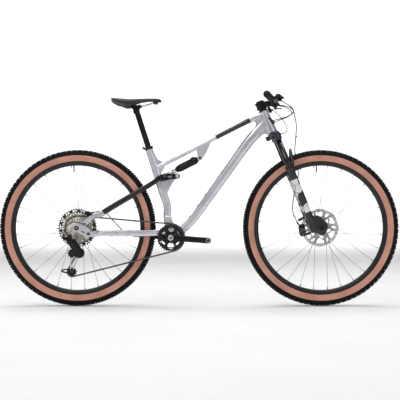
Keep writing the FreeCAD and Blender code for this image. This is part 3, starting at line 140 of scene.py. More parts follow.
# ---------------------------------------------------------------- camera, floor and light
def build_stage():
    camera = placed("camera", bpy.data.cameras.new("camera"))
    camera.data.lens = LENS
    camera.data.sensor_width = SENSOR
    camera.location = CAMERA_PLACE
    camera.rotation_euler = (math.radians(90), 0, 0)
    bpy.context.scene.camera = camera

    # a floor that curves up into a wall behind the bicycle
    profile = [(FLOOR_FRONT, 0.0), (BEND_START, 0.0)]
    for k in range(1, 9):
        a = math.radians(90 * k / 8)
        profile.append((BEND_START + BEND_R * math.sin(a), BEND_R - BEND_R * math.cos(a)))
    profile.append((BEND_START + BEND_R, WALL_TOP))
    verts, faces = [], []
    for y, z in profile:
        verts += [(-FLOOR_HALF, y, z), (FLOOR_HALF, y, z)]
    for i in range(len(profile) - 1):
        faces.append((2 * i, 2 * i + 1, 2 * i + 3, 2 * i + 2))
    mesh = bpy.data.meshes.new("floor")
    mesh.from_pydata(verts, [], faces)
    mesh.shade_smooth()
    white = finish("floor_white", [(0.93, 0.93, 0.93), (0.97, 0.97, 0.97)], 2.0, (0.7, 0.8))
    floor = placed("floor", mesh, [white])

    def area(name, place, target, size, power, tint=(1, 1, 1)):
        light = bpy.data.lights.new(name, "AREA")
        light.shape = "RECTANGLE"
        light.size, light.size_y = size
        light.energy = power
        light.color = tint
        lamp = placed(name, light)
        lamp.location = place
        lamp.rotation_euler = (Vector(target) - Vector(place)).to_track_quat("-Z", "Y").to_euler()

    area("key", (-1.5, -4.0, 4.5), (0, 0, 0.5), (3.5, 2.5), 104)
    area("fill", (3.5, -4.5, 2.0), (0, 0, 0.5), (2.0, 3.0), 27, (0.96, 0.97, 1))
    area("top", (0.0, 1.0, 5.0), (0, 0.2, 0.3), (5.0, 4.0), 185)
    area("wall", (0.0, 8.5, 5.5), (0, 13.5, 2.0), (10.0, 2.5), 560)

    world = bpy.data.worlds.new("studio")
    bpy.context.scene.world = world
    world.use_nodes = True
    g = Graph(world.node_tree)
    up = g.new("ShaderNodeSeparateXYZ", {"Vector": g.coords("Generated")}).outputs["Z"]
    sky = g.ramp(up, [(0.0, (0.80, 0.80, 0.81)), (0.35, (0.62, 0.62, 0.63)),
        (1.0, (0.85, 0.85, 0.86))])
    g.tree.nodes["Background"].inputs["Strength"].default_value = 0.36
    g.link(sky, g.tree.nodes["Background"].inputs["Color"])
    bpy.context.scene.view_settings.view_transform = "Standard"
    bpy.context.scene.view_settings.look = "None"


# ---------------------------------------------------------------- material nodes
class Graph:
    """Short calls for the shader nodes that the materials share."""

    def __init__(self, tree):
        self.tree = tree

    def link(self, socket, target):
        self.tree.links.new(socket, target)

    def new(self, kind, inputs=None, **props):
        node = self.tree.nodes.new(kind)
        for key, value in props.items():
            setattr(node, key, value)
        for key, value in (inputs or {}).items():
            if isinstance(value, bpy.types.NodeSocket):
                self.link(value, node.inputs[key])
            else:
                node.inputs[key].default_value = value
        return node

    def coords(self, kind="Object"):
        return self.new("ShaderNodeTexCoord").outputs[kind]

    def stretch(self, vector, scale, turn=(0, 0, 0)):
        return self.new("ShaderNodeMapping", {"Vector": vector, "Scale": scale,
            "Rotation": turn}).outputs[0]

    def noise(self, vector, scale, detail=4.0, distortion=0.0, rough=0.55):
        return self.new("ShaderNodeTexNoise", {"Vector": vector, "Scale": scale, "Detail": detail,
            "Distortion": distortion, "Roughness": rough}).outputs[0]

    def voronoi(self, vector, scale, output="Distance", feature="F1"):
        return self.new("ShaderNodeTexVoronoi", {"Vector": vector, "Scale": scale},
            feature=feature).outputs[output]

    def wave(self, vector, scale, distortion=0.0, direction="X"):
        return self.new("ShaderNodeTexWave", {"Vector": vector, "Scale": scale,
            "Distortion": distortion}, bands_direction=direction).outputs["Fac"]

    def math(self, operation, a, b=0.0):
        return self.new("ShaderNodeMath", {0: a, 1: b}, operation=operation).outputs[0]

    def dot(self, vector, direction):
        return self.new("ShaderNodeVectorMath", {0: vector, 1: direction},
            operation="DOT_PRODUCT").outputs["Value"]

    def spread(self, value, low, high, to_low=0.0, to_high=1.0):
        return self.new("ShaderNodeMapRange", {"Value": value, "From Min": low, "From Max": high,
            "To Min": to_low, "To Max": to_high}).outputs[0]

    def within(self, value, low, high, soft=0.0006):
        """1 between low and high, 0 outside, with a soft edge."""
        rise = self.spread(value, low - soft, low + soft)
        fall = self.spread(value, high - soft, high + soft, 1.0, 0.0)
        return self.math("MULTIPLY", rise, fall)

    def drift(self, place, scale, low, high, detail=4.0):
        """A value that wanders between low and high over the surface."""
        return self.spread(self.noise(place, scale, detail), 0.3, 0.7, low, high)

    def speckle(self, place, scale, low, high, detail=4.0):
        """A colour that wanders between low and high over the surface."""
        return self.ramp(self.noise(place, scale, detail), [(0.3, low), (0.7, high)])

    def ramp(self, value, stops):
        node = self.new("ShaderNodeValToRGB", {"Fac": value})
        ramp = node.color_ramp
        while len(ramp.elements) < len(stops):
            ramp.elements.new(0.5)
        for element, (place, colour) in zip(ramp.elements, stops):
            element.position = place
            element.color = (*colour, 1)
        return node.outputs["Color"]

    def mix(self, factor, a, b):
        node = self.new("ShaderNodeMix", data_type="RGBA")
        for index, value in ((0, factor), (6, a), (7, b)):
            if isinstance(value, bpy.types.NodeSocket):
                self.link(value, node.inputs[index])
            else:
                node.inputs[index].default_value = value if index == 0 else (*value, 1)
        return node.outputs[2]

    def bump(self, height, strength, distance=0.001, normal=None):
        inputs = {"Height": height, "Strength": strength, "Distance": distance}
        if normal:
            inputs["Normal"] = normal
        return self.new("ShaderNodeBump", inputs).outputs[0]


def material(name):
    """An empty material with its graph and its shader's inputs."""
    mat = bpy.data.materials.new(name)
    mat.use_nodes = True
    return mat, Graph(mat.node_tree), mat.node_tree.nodes["Principled BSDF"].inputs


def finish(name, colours, scale, rough, metallic=0.0, grain=(900, 0.05), stretch=(1, 1, 1),
        coat=0.0, edge=None, specular=0.5, distortion=0.0):
    """Mottled colour, uneven gloss and a fine grain; edge is the colour of worn edges."""
    mat, g, shader = material(name)
    place = g.stretch(g.coords(), stretch)
    stops = [(0.3 + 0.4 * i / max(len(colours) - 1, 1), c) for i, c in enumerate(colours)]
    colour = g.ramp(g.noise(place, scale, 5, distortion), stops)
    if edge:
        worn = g.spread(g.new("ShaderNodeNewGeometry").outputs["Pointiness"], 0.53, 0.62)
        patchy = g.math("MULTIPLY", worn, g.spread(g.noise(place, 160), 0.35, 0.65))
        colour = g.mix(patchy, colour, edge)
    g.link(colour, shader["Base Color"])
    g.link(g.drift(place, scale * 3, *rough), shader["Roughness"])
    if grain[1]:
        g.link(g.bump(g.noise(place, grain[0], 3), grain[1], 0.0006), shader["Normal"])
    shader["Metallic"].default_value = metallic
    shader["Coat Weight"].default_value = coat
    shader["Coat Roughness"].default_value = 0.08
    shader["Specular IOR Level"].default_value = specular
    return mat


def frame_paint():
    """Pale lilac silver with a slow marbled reflection painted into its colour, and a black band on
    the top tube.
    """
    mat, g, shader = material("frame_paint")
    place = g.coords()
    # the slow marble noise paints light and dark reflection into the silver base colour; it also
    # varies the gloss
    painted_reflection_marble = g.noise(place, 5.0, 3, 0.9, 0.45)
    flakes = g.noise(place, 2600, 2)
    silver = g.ramp(painted_reflection_marble, [(0.32, (0.56, 0.555, 0.61)), (0.48, (0.66, 0.655, 0.705)),
        (0.58, (0.73, 0.725, 0.77)), (0.72, (0.60, 0.59, 0.65))])
    silver = g.mix(g.spread(flakes, 0.35, 0.75, 0.0, 0.22), silver, (0.92, 0.92, 0.96))
    lean = math.atan(TOP_TUBE_SLOPE)
    along = g.dot(place, (math.cos(lean), 0, math.sin(lean)))
    across = g.dot(place, (-math.sin(lean), 0, math.cos(lean)))
    low, high, middle = top_tube(78), top_tube(238), top_tube(150)
    on_tube = g.within(across, middle.z * math.cos(lean) - middle.x * math.sin(lean) - 0.02,
        middle.z * math.cos(lean) - middle.x * math.sin(lean) + 0.02)
    band = g.math("MULTIPLY", on_tube, g.within(along,
        low.x * math.cos(lean) + low.z * math.sin(lean),
        high.x * math.cos(lean) + high.z * math.sin(lean)))
    g.link(g.mix(band, silver, (0.010, 0.010, 0.012)), shader["Base Color"])
    g.link(g.spread(painted_reflection_marble, 0.3, 0.7, 0.20, 0.34), shader["Roughness"])
    g.link(g.spread(band, 0, 1, 0.6, 0.0), shader["Metallic"])
    g.link(g.bump(g.noise(place, 240, 3), 0.03, 0.0006), shader["Normal"])
    shader["Coat Weight"].default_value = 0.55
    shader["Coat Roughness"].default_value = 0.07
    return mat


def stay_paint():
    """The seat stays: black tubes that turn silver at the dropouts."""
    mat, g, shader = material("stay_paint")
    place = g.coords()
    # the marble noise paints light and dark reflection into the silver at the dropouts
    painted_reflection_marble = g.noise(place, 6.0, 3, 0.9, 0.45)
    silver = g.ramp(painted_reflection_marble, [(0.32, (0.46, 0.45, 0.50)), (0.52, (0.72, 0.715, 0.76)),
        (0.70, (0.62, 0.61, 0.67))])
    cut = at(-449, 443)
    along = g.dot(place, (0.861, 0, 0.508))
    black = g.spread(along, cut.x * 0.861 + cut.z * 0.508 - 0.002,
        cut.x * 0.861 + cut.z * 0.508 + 0.002)
    g.link(g.mix(black, silver, (0.007, 0.007, 0.009)), shader["Base Color"])
    g.link(g.spread(black, 0, 1, 0.6, 0.0), shader["Metallic"])
    g.link(g.drift(place, 40, 0.24, 0.36), shader["Roughness"])
    g.link(g.bump(g.noise(place, 260, 3), 0.03, 0.0006), shader["Normal"])
    shader["Coat Weight"].default_value = 0.25
    shader["Coat Roughness"].default_value = 0.08
    return mat


def fork_paint():
    """Satin black legs with a band of generic white and black facets between two heights."""
    mat, g, shader = material("fork_paint")
    place = g.coords()
    height = g.dot(place, (-math.sin(TILT), 0, math.cos(TILT)))
    base = steer(0)
    zero = base.x * -math.sin(TILT) + base.z * math.cos(TILT)
    flat = g.stretch(place, (1, 0.15, 1), (0, TILT, 0))
    cell = g.voronoi(flat, 34, "Color")
    chosen = g.math("GREATER_THAN", g.new("ShaderNodeSeparateColor", {0: cell}).outputs[0], 0.40)
    gap = g.math("GREATER_THAN", g.voronoi(flat, 34, "Distance", "DISTANCE_TO_EDGE"), 0.025)
    edge_noise = g.math("MULTIPLY", g.math("SUBTRACT",
        g.new("ShaderNodeSeparateColor", {0: cell}).outputs[1], 0.5), 0.030)
    band = g.within(g.math("ADD", height, edge_noise), zero + 0.078, zero + 0.236, 0.001)
    facets = g.math("MULTIPLY", band, g.math("MULTIPLY", chosen, gap))
    white = g.speckle(place, 60, (0.72, 0.72, 0.76), (0.86, 0.86, 0.88))
    black = g.speckle(place, 30, (0.006, 0.006, 0.008), (0.013, 0.013, 0.016))
    g.link(g.mix(facets, black, white), shader["Base Color"])
    g.link(g.drift(place, 90, 0.24, 0.4), shader["Roughness"])
    g.link(g.bump(g.noise(place, 420, 3), 0.05, 0.0006), shader["Normal"])
    shader["Coat Weight"].default_value = 0.35
    shader["Coat Roughness"].default_value = 0.12
    return mat


def tread_rubber():
    mat, g, shader = material("tread_rubber")
    place = g.coords()
    dust = g.math("MULTIPLY", g.spread(g.noise(place, 45, 5), 0.45, 0.75), 0.5)
    black = g.speckle(place, 700, (0.005, 0.005, 0.006), (0.012, 0.012, 0.013), 3)
    g.link(g.mix(dust, black, (0.028, 0.026, 0.026)), shader["Base Color"])
    g.link(g.drift(place, 120, 0.62, 0.85), shader["Roughness"])
    g.link(g.bump(g.noise(place, 1500, 3), 0.25, 0.0006), shader["Normal"])
    shader["Specular IOR Level"].default_value = 0.15
    return mat


def tan_wall():
    """Skin-coloured casing with crossed threads under thin rubber."""
    mat, g, shader = material("tan_sidewall")
    place = g.coords()
    one = g.wave(g.stretch(place, (1, 1, 1), (0, math.radians(45), 0)), 260, 0.4)
    two = g.wave(g.stretch(place, (1, 1, 1), (0, math.radians(-45), 0)), 260, 0.4)
    threads = g.math("ADD", one, two)
    tone = g.math("ADD", g.math("MULTIPLY", threads, 0.16),
        g.math("MULTIPLY", g.noise(place, 14, 5), 0.7))
    colour = g.ramp(tone, [(0.25, (0.42, 0.19, 0.135)), (0.5, (0.62, 0.30, 0.22)),
        (0.75, (0.72, 0.37, 0.285))])
    g.link(colour, shader["Base Color"])
    g.link(g.drift(place, 80, 0.5, 0.72), shader["Roughness"])
    g.link(g.bump(threads, 0.18, 0.0004), shader["Normal"])
    shader["Specular IOR Level"].default_value = 0.35
    return mat


def saddle_skin():
    """Black microfibre: pebbled grain, with rows of small pressed dimples along the top."""
    mat, g, shader = material("saddle_skin")
    place = g.coords()
    grain = g.voronoi(place, 1100)
    colour = g.speckle(place, 60, (0.006, 0.006, 0.007), (0.015, 0.015, 0.017), 5)
    g.link(colour, shader["Base Color"])
    g.link(g.drift(place, 90, 0.42, 0.6), shader["Roughness"])
    first = g.bump(grain, 0.25, 0.0005)
    g.link(g.bump(g.noise(place, 160, 3), 0.08, 0.001, first), shader["Normal"])
    shader["Sheen Weight"].default_value = 0.15
    return mat


def disc_steel(name, centre):
    """Ground steel: fine rings about the axle and heat tint near the rim."""
    mat, g, shader = material(name)
    place = g.coords()
    arm = g.new("ShaderNodeVectorMath", {0: place, 1: at(*centre)}, operation="SUBTRACT").outputs[0]
    flat = g.stretch(arm, (1, 0, 1))
    reach = g.new("ShaderNodeVectorMath", {0: flat}, operation="LENGTH").outputs["Value"]
    rings = g.noise(g.new("ShaderNodeCombineXYZ", {"X": g.math("MULTIPLY", reach,
        2200)}).outputs[0], 1.0, 3)
    cool = g.speckle(place, 35, (0.42, 0.42, 0.44), (0.66, 0.66, 0.68))
    g.link(g.mix(g.spread(reach, 0.070, 0.090, 0.0, 0.25), cool, (0.50, 0.46, 0.42)),
        shader["Base Color"])
    g.link(g.spread(rings, 0.3, 0.7, 0.22, 0.42), shader["Roughness"])
    g.link(g.bump(rings, 0.12, 0.0003), shader["Normal"])
    shader["Metallic"].default_value = 1.0
    return mat


def cassette_steel():
    """Pale nickel cogs; the two largest, next to the spokes, are black."""
    mat, g, shader = material("cassette_steel")
    place = g.coords()
    side = g.new("ShaderNodeSeparateXYZ", {"Vector": place}).outputs["Y"]
    black = g.math("GREATER_THAN", side, -0.0325)
    nickel = g.ramp(g.noise(place, 30, 5), [(0.3, (0.50, 0.455, 0.40)), (0.55, (0.72, 0.67, 0.60)),
        (0.75, (0.60, 0.55, 0.49))])
    g.link(g.mix(black, nickel, (0.022, 0.022, 0.024)), shader["Base Color"])
    g.link(g.spread(black, 0, 1, 0.85, 0.3), shader["Metallic"])
    g.link(g.drift(place, 220, 0.25, 0.42), shader["Roughness"])
    g.link(g.bump(g.noise(place, 900, 3), 0.06, 0.0005), shader["Normal"])
    return mat


def build_materials():
    black, soft_black = (0.006, 0.006, 0.007), (0.013, 0.013, 0.015)
    worn = (0.045, 0.045, 0.047)
    return {
        "frame_paint": frame_paint(),
        "stay_paint": stay_paint(),
        "fork_paint": fork_paint(),
        "tread": tread_rubber(),
        "tan_wall": tan_wall(),
        "saddle_skin": saddle_skin(),
        "front_disc": disc_steel("front_disc", FRONT_AXLE),
        "rear_disc": disc_steel("rear_disc", REAR_AXLE),
        "cassette_steel": cassette_steel(),
        "steel": finish("polished_steel", [(0.45, 0.45, 0.47), (0.68, 0.68, 0.70)], 60,
            (0.18, 0.34), 1.0, edge=(0.8, 0.8, 0.8)),
        "bolt_steel": finish("bolt_steel", [(0.05, 0.05, 0.055), (0.10, 0.10, 0.11)], 80,
            (0.25, 0.4), 0.8, edge=(0.5, 0.5, 0.5)),
        "spoke_steel": finish("spoke_steel", [(0.20, 0.20, 0.21), (0.32, 0.32, 0.33)], 30,
            (0.3, 0.45), 0.3),
        "gloss_black": finish("gloss_black", [black, soft_black], 22, (0.14, 0.26), 0.0,
            (700, 0.02), coat=0.08, edge=(0.03, 0.03, 0.032), specular=0.16),
        "satin_black": finish("satin_black", [black, soft_black], 40, (0.34, 0.5), 0.0,
            (1200, 0.06), edge=worn, specular=0.2),
        "crown_black": finish("crown_black", [(0.008, 0.010, 0.018), (0.018, 0.024, 0.042)], 18,
            (0.18, 0.3), 0.0, (900, 0.03), coat=0.3, edge=(0.06, 0.07, 0.10)),
        "stanchion": finish("stanchion_black", [(0.006, 0.006, 0.007), (0.012, 0.012, 0.014)], 12,
            (0.07, 0.14), 0.0, (1600, 0.02), stretch=(1, 1, 0.3), coat=0.4),
        "rim_black": finish("rim_black", [black, (0.016, 0.016, 0.018)], 35, (0.32, 0.46), 0.0,
            (1500, 0.05), edge=(0.08, 0.08, 0.085), specular=0.4),
        "bead_rubber": finish("bead_rubber", [(0.006, 0.006, 0.006), (0.014, 0.013, 0.013)], 90,
            (0.6, 0.8), grain=(1300, 0.15), specular=0.3),
        "grip_rubber": finish("grip_rubber", [(0.006, 0.006, 0.006), (0.014, 0.014, 0.015)], 70,
            (0.62, 0.82), grain=(1500, 0.22), specular=0.3),
        "plastic": finish("moulded_plastic", [(0.007, 0.007, 0.008), (0.015, 0.015, 0.017)], 50,
            (0.36, 0.52), grain=(1800, 0.14), edge=(0.05, 0.05, 0.05), specular=0.35),
        "hose": finish("hose_jacket", [(0.012, 0.012, 0.013), (0.03, 0.03, 0.033)], 120,
            (0.34, 0.5), grain=(1600, 0.08)),
        "chain_steel": finish("chain_steel", [(0.035, 0.033, 0.032), (0.10, 0.095, 0.09)], 150,
            (0.28, 0.45), 0.7, (1400, 0.08), edge=(0.22, 0.21, 0.20)),
        "alloy": finish("brushed_alloy", [(0.50, 0.50, 0.52), (0.70, 0.70, 0.72)], 50,
            (0.28, 0.42), 0.95, (1100, 0.08), edge=(0.85, 0.85, 0.85)),
        "chrome": finish("shock_chrome", [(0.60, 0.60, 0.62), (0.75, 0.75, 0.77)], 20,
            (0.06, 0.14), 1.0, (900, 0.01)),
    }


# ---------------------------------------------------------------- mesh tools
def place_mesh(name, verts, faces, mats, face_mats=None, smooth=True):
    mesh = bpy.data.meshes.new(name)
    mesh.from_pydata(verts, [], faces)
    if face_mats:
        mesh.polygons.foreach_set("material_index", face_mats)
    bm = bmesh.new()
    bm.from_mesh(mesh)
    bmesh.ops.recalc_face_normals(bm, faces=bm.faces)
    bm.to_mesh(mesh)
    bm.free()
    if smooth:
        mesh.shade_smooth()
    return placed(name, mesh, mats)


def applied(obj):
    """Turn the object's modifiers into mesh."""
    graph = bpy.context.evaluated_depsgraph_get()
    mesh = bpy.data.meshes.new_from_object(obj.evaluated_get(graph))
    old = obj.data
    obj.modifiers.clear()
    obj.data = mesh
    bpy.data.meshes.remove(old)
    return obj


def bevelled(obj, width, segments=2, angle=35):
    mod = obj.modifiers.new("bevel", "BEVEL")
    mod.width = width * 0.001
    mod.segments = segments
    mod.limit_method = "ANGLE"
    mod.angle_limit = math.radians(angle)
    mod.harden_normals = True
    applied(obj)
    obj.data.shade_smooth()
    return obj


def welded(obj, voxel, rounds, mats):
    """Melt overlapping forms into one skin with small fillets where they meet."""
    mod = obj.modifiers.new("weld", "REMESH")
    mod.mode = "VOXEL"
    mod.voxel_size = voxel * 0.001
    mod.use_smooth_shade = True
    soft = obj.modifiers.new("soft", "SMOOTH")
    soft.factor = 0.5
    soft.iterations = rounds
    applied(obj)
    obj.data.materials.clear()
    for m in mats:
        obj.data.materials.append(m)
    return obj


def joined(name, pieces):
    """One object from several; each piece keeps its own materials."""
    bm = bmesh.new()
    mats = []
    for piece in pieces:
        start = len(bm.faces)
        bm.from_mesh(piece.data)
        bm.faces.ensure_lookup_table()
        local = list(piece.data.materials)
        for face in bm.faces[start:]:
            mat = local[face.material_index] if local else None
            if mat not in mats:
                mats.append(mat)
            face.material_index = mats.index(mat)
        mesh = piece.data
        bpy.data.objects.remove(piece)
        bpy.data.meshes.remove(mesh)
    mesh = bpy.data.meshes.new(name)
    bm.to_mesh(mesh)
    bm.free()
    return placed(name, mesh, mats)


def fitted(obj, body, slot, *nodes):
    """The piece rides on the body and stands for the nodes, which are hidden; slot is not used."""
    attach(obj, body)
    if nodes:
        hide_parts(*nodes)
    return obj


def turns(count, start=0.0):
    """Equally spaced angles round a full turn; start is the share of a step that comes first."""
    return [2 * math.pi * (k + start) / count for k in range(count)]


def basis(direction, hint=Vector((0, 1, 0))):
    """Two unit vectors across the direction; the first is nearest to the hint."""
    d = direction.normalized()
    side = hint - d * hint.dot(d)
    if side.length < 1e-4:
        side = Vector((1, 0, 0)) - d * d.x
    side.normalize()
    return side, d.cross(side)


def loft(name, rings, mats):
    """A skin over rings of equal length, closed at both ends."""
    n = len(rings[0])
    verts = [p for ring in rings for p in ring]
    faces = []
    for i in range(len(rings) - 1):
        for k in range(n):
            a, b = i * n + k, i * n + (k + 1) % n
            faces.append((a, b, b + n, a + n))
    faces.append(tuple(range(n - 1, -1, -1)))
    faces.append(tuple(range(len(verts) - n, len(verts))))
    return place_mesh(name, verts, faces, mats)


def lathe(name, profile, centre, axis, mats, steps=64, rows=None, closed=False):
    """Turn (radius, distance along the axis) points, in millimetres, about the axis."""
    side, up = basis(axis)
    d = axis.normalized()
    rings = []
    for a in turns(steps):
        out = side * math.cos(a) + up * math.sin(a)
        rings.append([centre + (out * r + d * t) * 0.001 for r, t in profile])
    n = len(profile)
    verts = [p for ring in rings for p in ring]
    faces, marks = [], []
    spans = n if closed else n - 1
    for k in range(steps):
        for i in range(spans):
            a, b = k * n + i, k * n + (i + 1) % n
            c, e = ((k + 1) % steps) * n + (i + 1) % n, ((k + 1) % steps) * n + i
            faces.append((a, b, c, e))
            marks.append(rows[i] if rows else 0)
    obj = place_mesh(name, verts, faces, mats, marks)
    bm = bmesh.new()
    bm.from_mesh(obj.data)
    bmesh.ops.remove_doubles(bm, verts=bm.verts, dist=1e-6)
    bm.to_mesh(obj.data)
    bm.free()
    return obj


def smooth_line(points, steps):
    """Points on a Catmull-Rom curve through the given points; tuples of numbers or vectors."""
    out = []
    for i in range(len(points) - 1):
        p0, p1 = points[max(i - 1, 0)], points[i]
        p2, p3 = points[i + 1], points[min(i + 2, len(points) - 1)]
        for k in range(steps):
            t = k / steps
            out.append(tuple(0.5 * (2 * b + (c - a) * t + (2 * a - 5 * b + 4 * c - d) * t * t
                + (3 * b - a - 3 * c + d) * t ** 3) for a, b, c, d in zip(p0, p1, p2, p3)))
    out.append(tuple(points[-1]))
    return out


def oval(centre, direction, width, height, power, sides=40, hint=Vector((0, 1, 0))):
    """A superellipse ring across the direction: power 2 is an ellipse, more is squarer."""
    side, up = basis(direction, hint)
    ring = []
    for a in turns(sides):
        c, s = math.cos(a), math.sin(a)
        u = math.copysign(abs(c) ** (2 / power), c) * width / 2
        v = math.copysign(abs(s) ** (2 / power), s) * height / 2
        ring.append(centre + (side * u + up * v) * 0.001)
    return ring


def tube(name, stations, mats, steps=6, sides=40):
    """A tube through (x, y, z, width, height, power) stations in millimetres."""
    line = smooth_line(stations, steps)
    rings = []
    for i, (x, y, z, w, h, p) in enumerate(line):
        before, after = line[max(i - 1, 0)], line[min(i + 1, len(line) - 1)]
        rings.append(oval(mm(x, y, z), Vector(after[:3]) - Vector(before[:3]), w, h, p, sides))
    return loft(name, rings, mats)


def swept(name, path, radii, mats, sides=16):
    """A round tube along points in metres; radii in millimetres, one or one for each point."""
    if not isinstance(radii, (list, tuple)):
        radii = [radii] * len(path)
    rings = []
    hint = Vector((0, 0, 1))
    for i, p in enumerate(path):
        d = path[min(i + 1, len(path) - 1)] - path[max(i - 1, 0)]
        side, up = basis(d, hint)
        hint = side
        rings.append([p + (side * math.cos(a) + up * math.sin(a)) * radii[i] * 0.001
            for a in turns(sides)])
    return loft(name, rings, mats)


def rod(name, centre, ends, r, mats, sides):
    """A round bar across the bicycle between two distances from its middle."""
    return swept(name, [at(*centre, y) for y in ends], r, mats, sides)


def route_end(route):
    """The route's last point and the direction back along it."""
    return route[-1], (route[-2] - route[-1]).normalized()


def spline_points(route, fineness):
    """Points read from the NURBS spline that has the route's points as its control points."""
    curve = bpy.data.curves.new("route", "CURVE")
    curve.dimensions = "3D"
    curve.resolution_u = fineness
    spline = curve.splines.new("NURBS")
    spline.points.add(len(route) - 1)
    for point, place in zip(spline.points, route):
        point.co = (*place, 1)
    spline.order_u = 3
    spline.use_endpoint_u = True
    holder = placed("route", curve)
    graph = bpy.context.evaluated_depsgraph_get()
    mesh = bpy.data.meshes.new_from_object(holder.evaluated_get(graph))
    path = [v.co.copy() for v in mesh.vertices]
    bpy.data.objects.remove(holder)
    bpy.data.curves.remove(curve)
    bpy.data.meshes.remove(mesh)
    return path


def softened(node, voxel, rounds, mats, body, slot):
    """The CAD piece's own form with its edges rounded, as a cast or moulded part has them."""
    obj = placed(node + "_skin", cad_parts[node].data.copy())
    welded(obj, voxel, rounds, mats)
    return fitted(obj, body, slot, node)


def bolt_head(name, centre, axis, r, height, mats):
    """A cap screw's head: bevelled rim and a hexagonal socket."""
    side, up = basis(axis)
    d = axis.normalized()
    hex_r = r * 0.5
    levels = [(r, 0, False), (r, height * 0.72, False), (r * 0.86, height, False),
        (hex_r, height, True), (hex_r, height * 0.35, True), (hex_r * 0.3, height * 0.3, True)]
    rings = []
    for radius, t, hexed in levels:
        ring = []
        for a in turns(36):
            reach = radius
            if hexed:
                reach = radius / math.cos((a % (math.pi / 3)) - math.pi / 6) * 0.9
            ring.append(centre + (side * math.cos(a) * reach + up * math.sin(a) * reach
                + d * t) * 0.001)
        rings.append(ring)
    obj = loft(name, rings, mats)
    obj.data.shade_flat()
    return obj


Y_AXIS = Vector((0, 1, 0))
STEER_AXIS = steer(1) - steer(0)
AHEAD = steer(0, 1) - steer(0)


# ---------------------------------------------------------------- wheels
def wheel_lathe(name, profile, centre, mats, steps, rows=None, closed=False):
    return lathe(name, profile, at(*centre), Y_AXIS, mats, steps, rows, closed)


def tread_block(verts, faces, centre, angle, y, size, height, lean, skew):
    """A tapered block; size is its length and width, lean tilts it with the casing."""
    length, width = size
    base_r = WHEEL_R - 4.6 - 0.0095 * y * y
    start = len(verts)
    for level, taper in ((-1.5, 1.0), (height * 0.8, 0.88), (height, 0.74)):
        for u, v in ((-1, -1), (1, -1), (1, 1), (-1, 1)):
            a = angle + (u * length / 2 * taper + skew * v) / WHEEL_R
            across_y = y + v * width / 2 * taper
            reach = base_r + level * math.cos(lean) - v * width / 2 * taper * math.sin(lean)
            side = across_y + level * math.sin(lean)
            verts.append(mm(centre[0] + reach * math.cos(a), side, centre[1] + reach * math.sin(a)))
    for level in range(2):
        for k in range(4):
            a, b = start + level * 4 + k, start + level * 4 + (k + 1) % 4
            faces.append((a, b, b + 4, a + 4))
    faces.append((start + 8, start + 9, start + 10, start + 11))


def build_tyre(body, node, centre, m, turn):
    """Casing with tan walls and black crown, and rows of blocks of three kinds."""
    half = [(309.5, 13.2), (312, 15.6), (314.5, 16.6), (316.5, 17.4), (317.3, 18.8), (318.6, 19.2),
        (323, 22.4), (329, 25.2), (335, 26.9), (339.5, 27.6), (341.5, 28.3), (343.5, 28.1),
        (348, 26.0), (352.5, 22.6), (356.5, 18.2), (359.8, 12.6), (361.8, 6.4), (362.4, 0.0)]
    kinds = [1, 1, 2, 2, 2, 2, 2, 2, 2, 2, 0, 0, 0, 0, 0, 0, 0]
    profile = half + [(r, -y) for r, y in reversed(half[:-1])]
    rows = kinds + kinds[::-1]
    inner = [(310, -11.5), (318, -15), (340, -23), (357, -8), (357, 8), (340, 23), (318, 15),
        (310, 11.5)]
    profile += inner
    rows += [1] * (len(inner) + 1)
    mats = [m["tread"], m["bead_rubber"], m["tan_wall"]]
    casing = wheel_lathe(node + "_casing", profile, centre, mats, 200, rows, closed=True)
    verts, faces = [], []
    step = math.pi / TREAD_STEPS
    for k in range(TREAD_STEPS):
        a = 2 * math.pi * k / TREAD_STEPS + turn
        for side in (-1, 1):
            own = a + (step if side > 0 else 0)
            tread_block(verts, faces, centre, own, side * 5.2, (9.5, 6.6), 4.4, side * 0.06,
                side * 1.2)
            tread_block(verts, faces, centre, own + step * 0.9, side * 14.0, (8.0, 6.4), 4.3,
                side * 0.42, -side * 1.5)
            long = 10.5 if k % 2 else 8.0
            tread_block(verts, faces, centre, own + step * 0.2, side * 22.6, (long, 6.6), 4.6,
                side * 0.86, side * 0.8)
            tread_block(verts, faces, centre, own + step * 1.1, side * 26.6, (5.5, 4.0), 2.6,
                side * 1.25, 0.0)
    blocks = place_mesh(node + "_blocks", verts, faces, [m["tread"]], smooth=False)
    tyre = joined(node + "_rubber", [casing, blocks])
    return fitted(tyre, body, "tyre_rubber", node)


def build_rim(body, node, centre, m):
    profile = [(315.4, -14.9), (314.6, -15.4), (311, -15.3), (303, -14.4), (297.5, -12.2),
        (294.6, -8.2), (293.0, -3.5), (292.8, 3.5), (294.6, 8.2), (297.5, 12.2), (303, 14.4),
        (311, 15.3), (314.6, 15.4), (315.4, 14.9), (315.2, 12.9), (305, 12.6), (300, 9.5), (299, 0),
        (300, -9.5), (305, -12.6), (315.2, -12.9)]
    rim = wheel_lathe(node + "_hoop", profile, centre, [m["rim_black"]], 220, closed=True)
    parts = [rim]
    for a in turns(SPOKES, 0.5):
        out = Vector((math.cos(a), 0, math.sin(a)))
        parts.append(lathe("nipple", [(0.2, 281.5), (1.6, 281.6), (1.9, 283), (1.9, 291),
            (2.9, 292.2), (2.9, 294)], at(*centre), out, [m["steel"]], 8))
    a = math.radians(VALVE_ANGLE)
    down = Vector((-math.sin(a), 0, -math.cos(a)))
    top = at(centre[0], centre[1]) - down * 0.297
    stem = [(3.6, 0), (3.6, 4.5), (3.0, 5), (3.0, 20), (3.5, 20.4), (3.5, 23), (2.9, 23.4),
        (2.9, 33), (2.0, 34), (1.4, 34.6), (0.2, 35)]
    parts.append(lathe("valve", stem, top, down, [m["satin_black"]], 16))
    return fitted(joined(node + "_built", parts), body, "rim_paint", node)


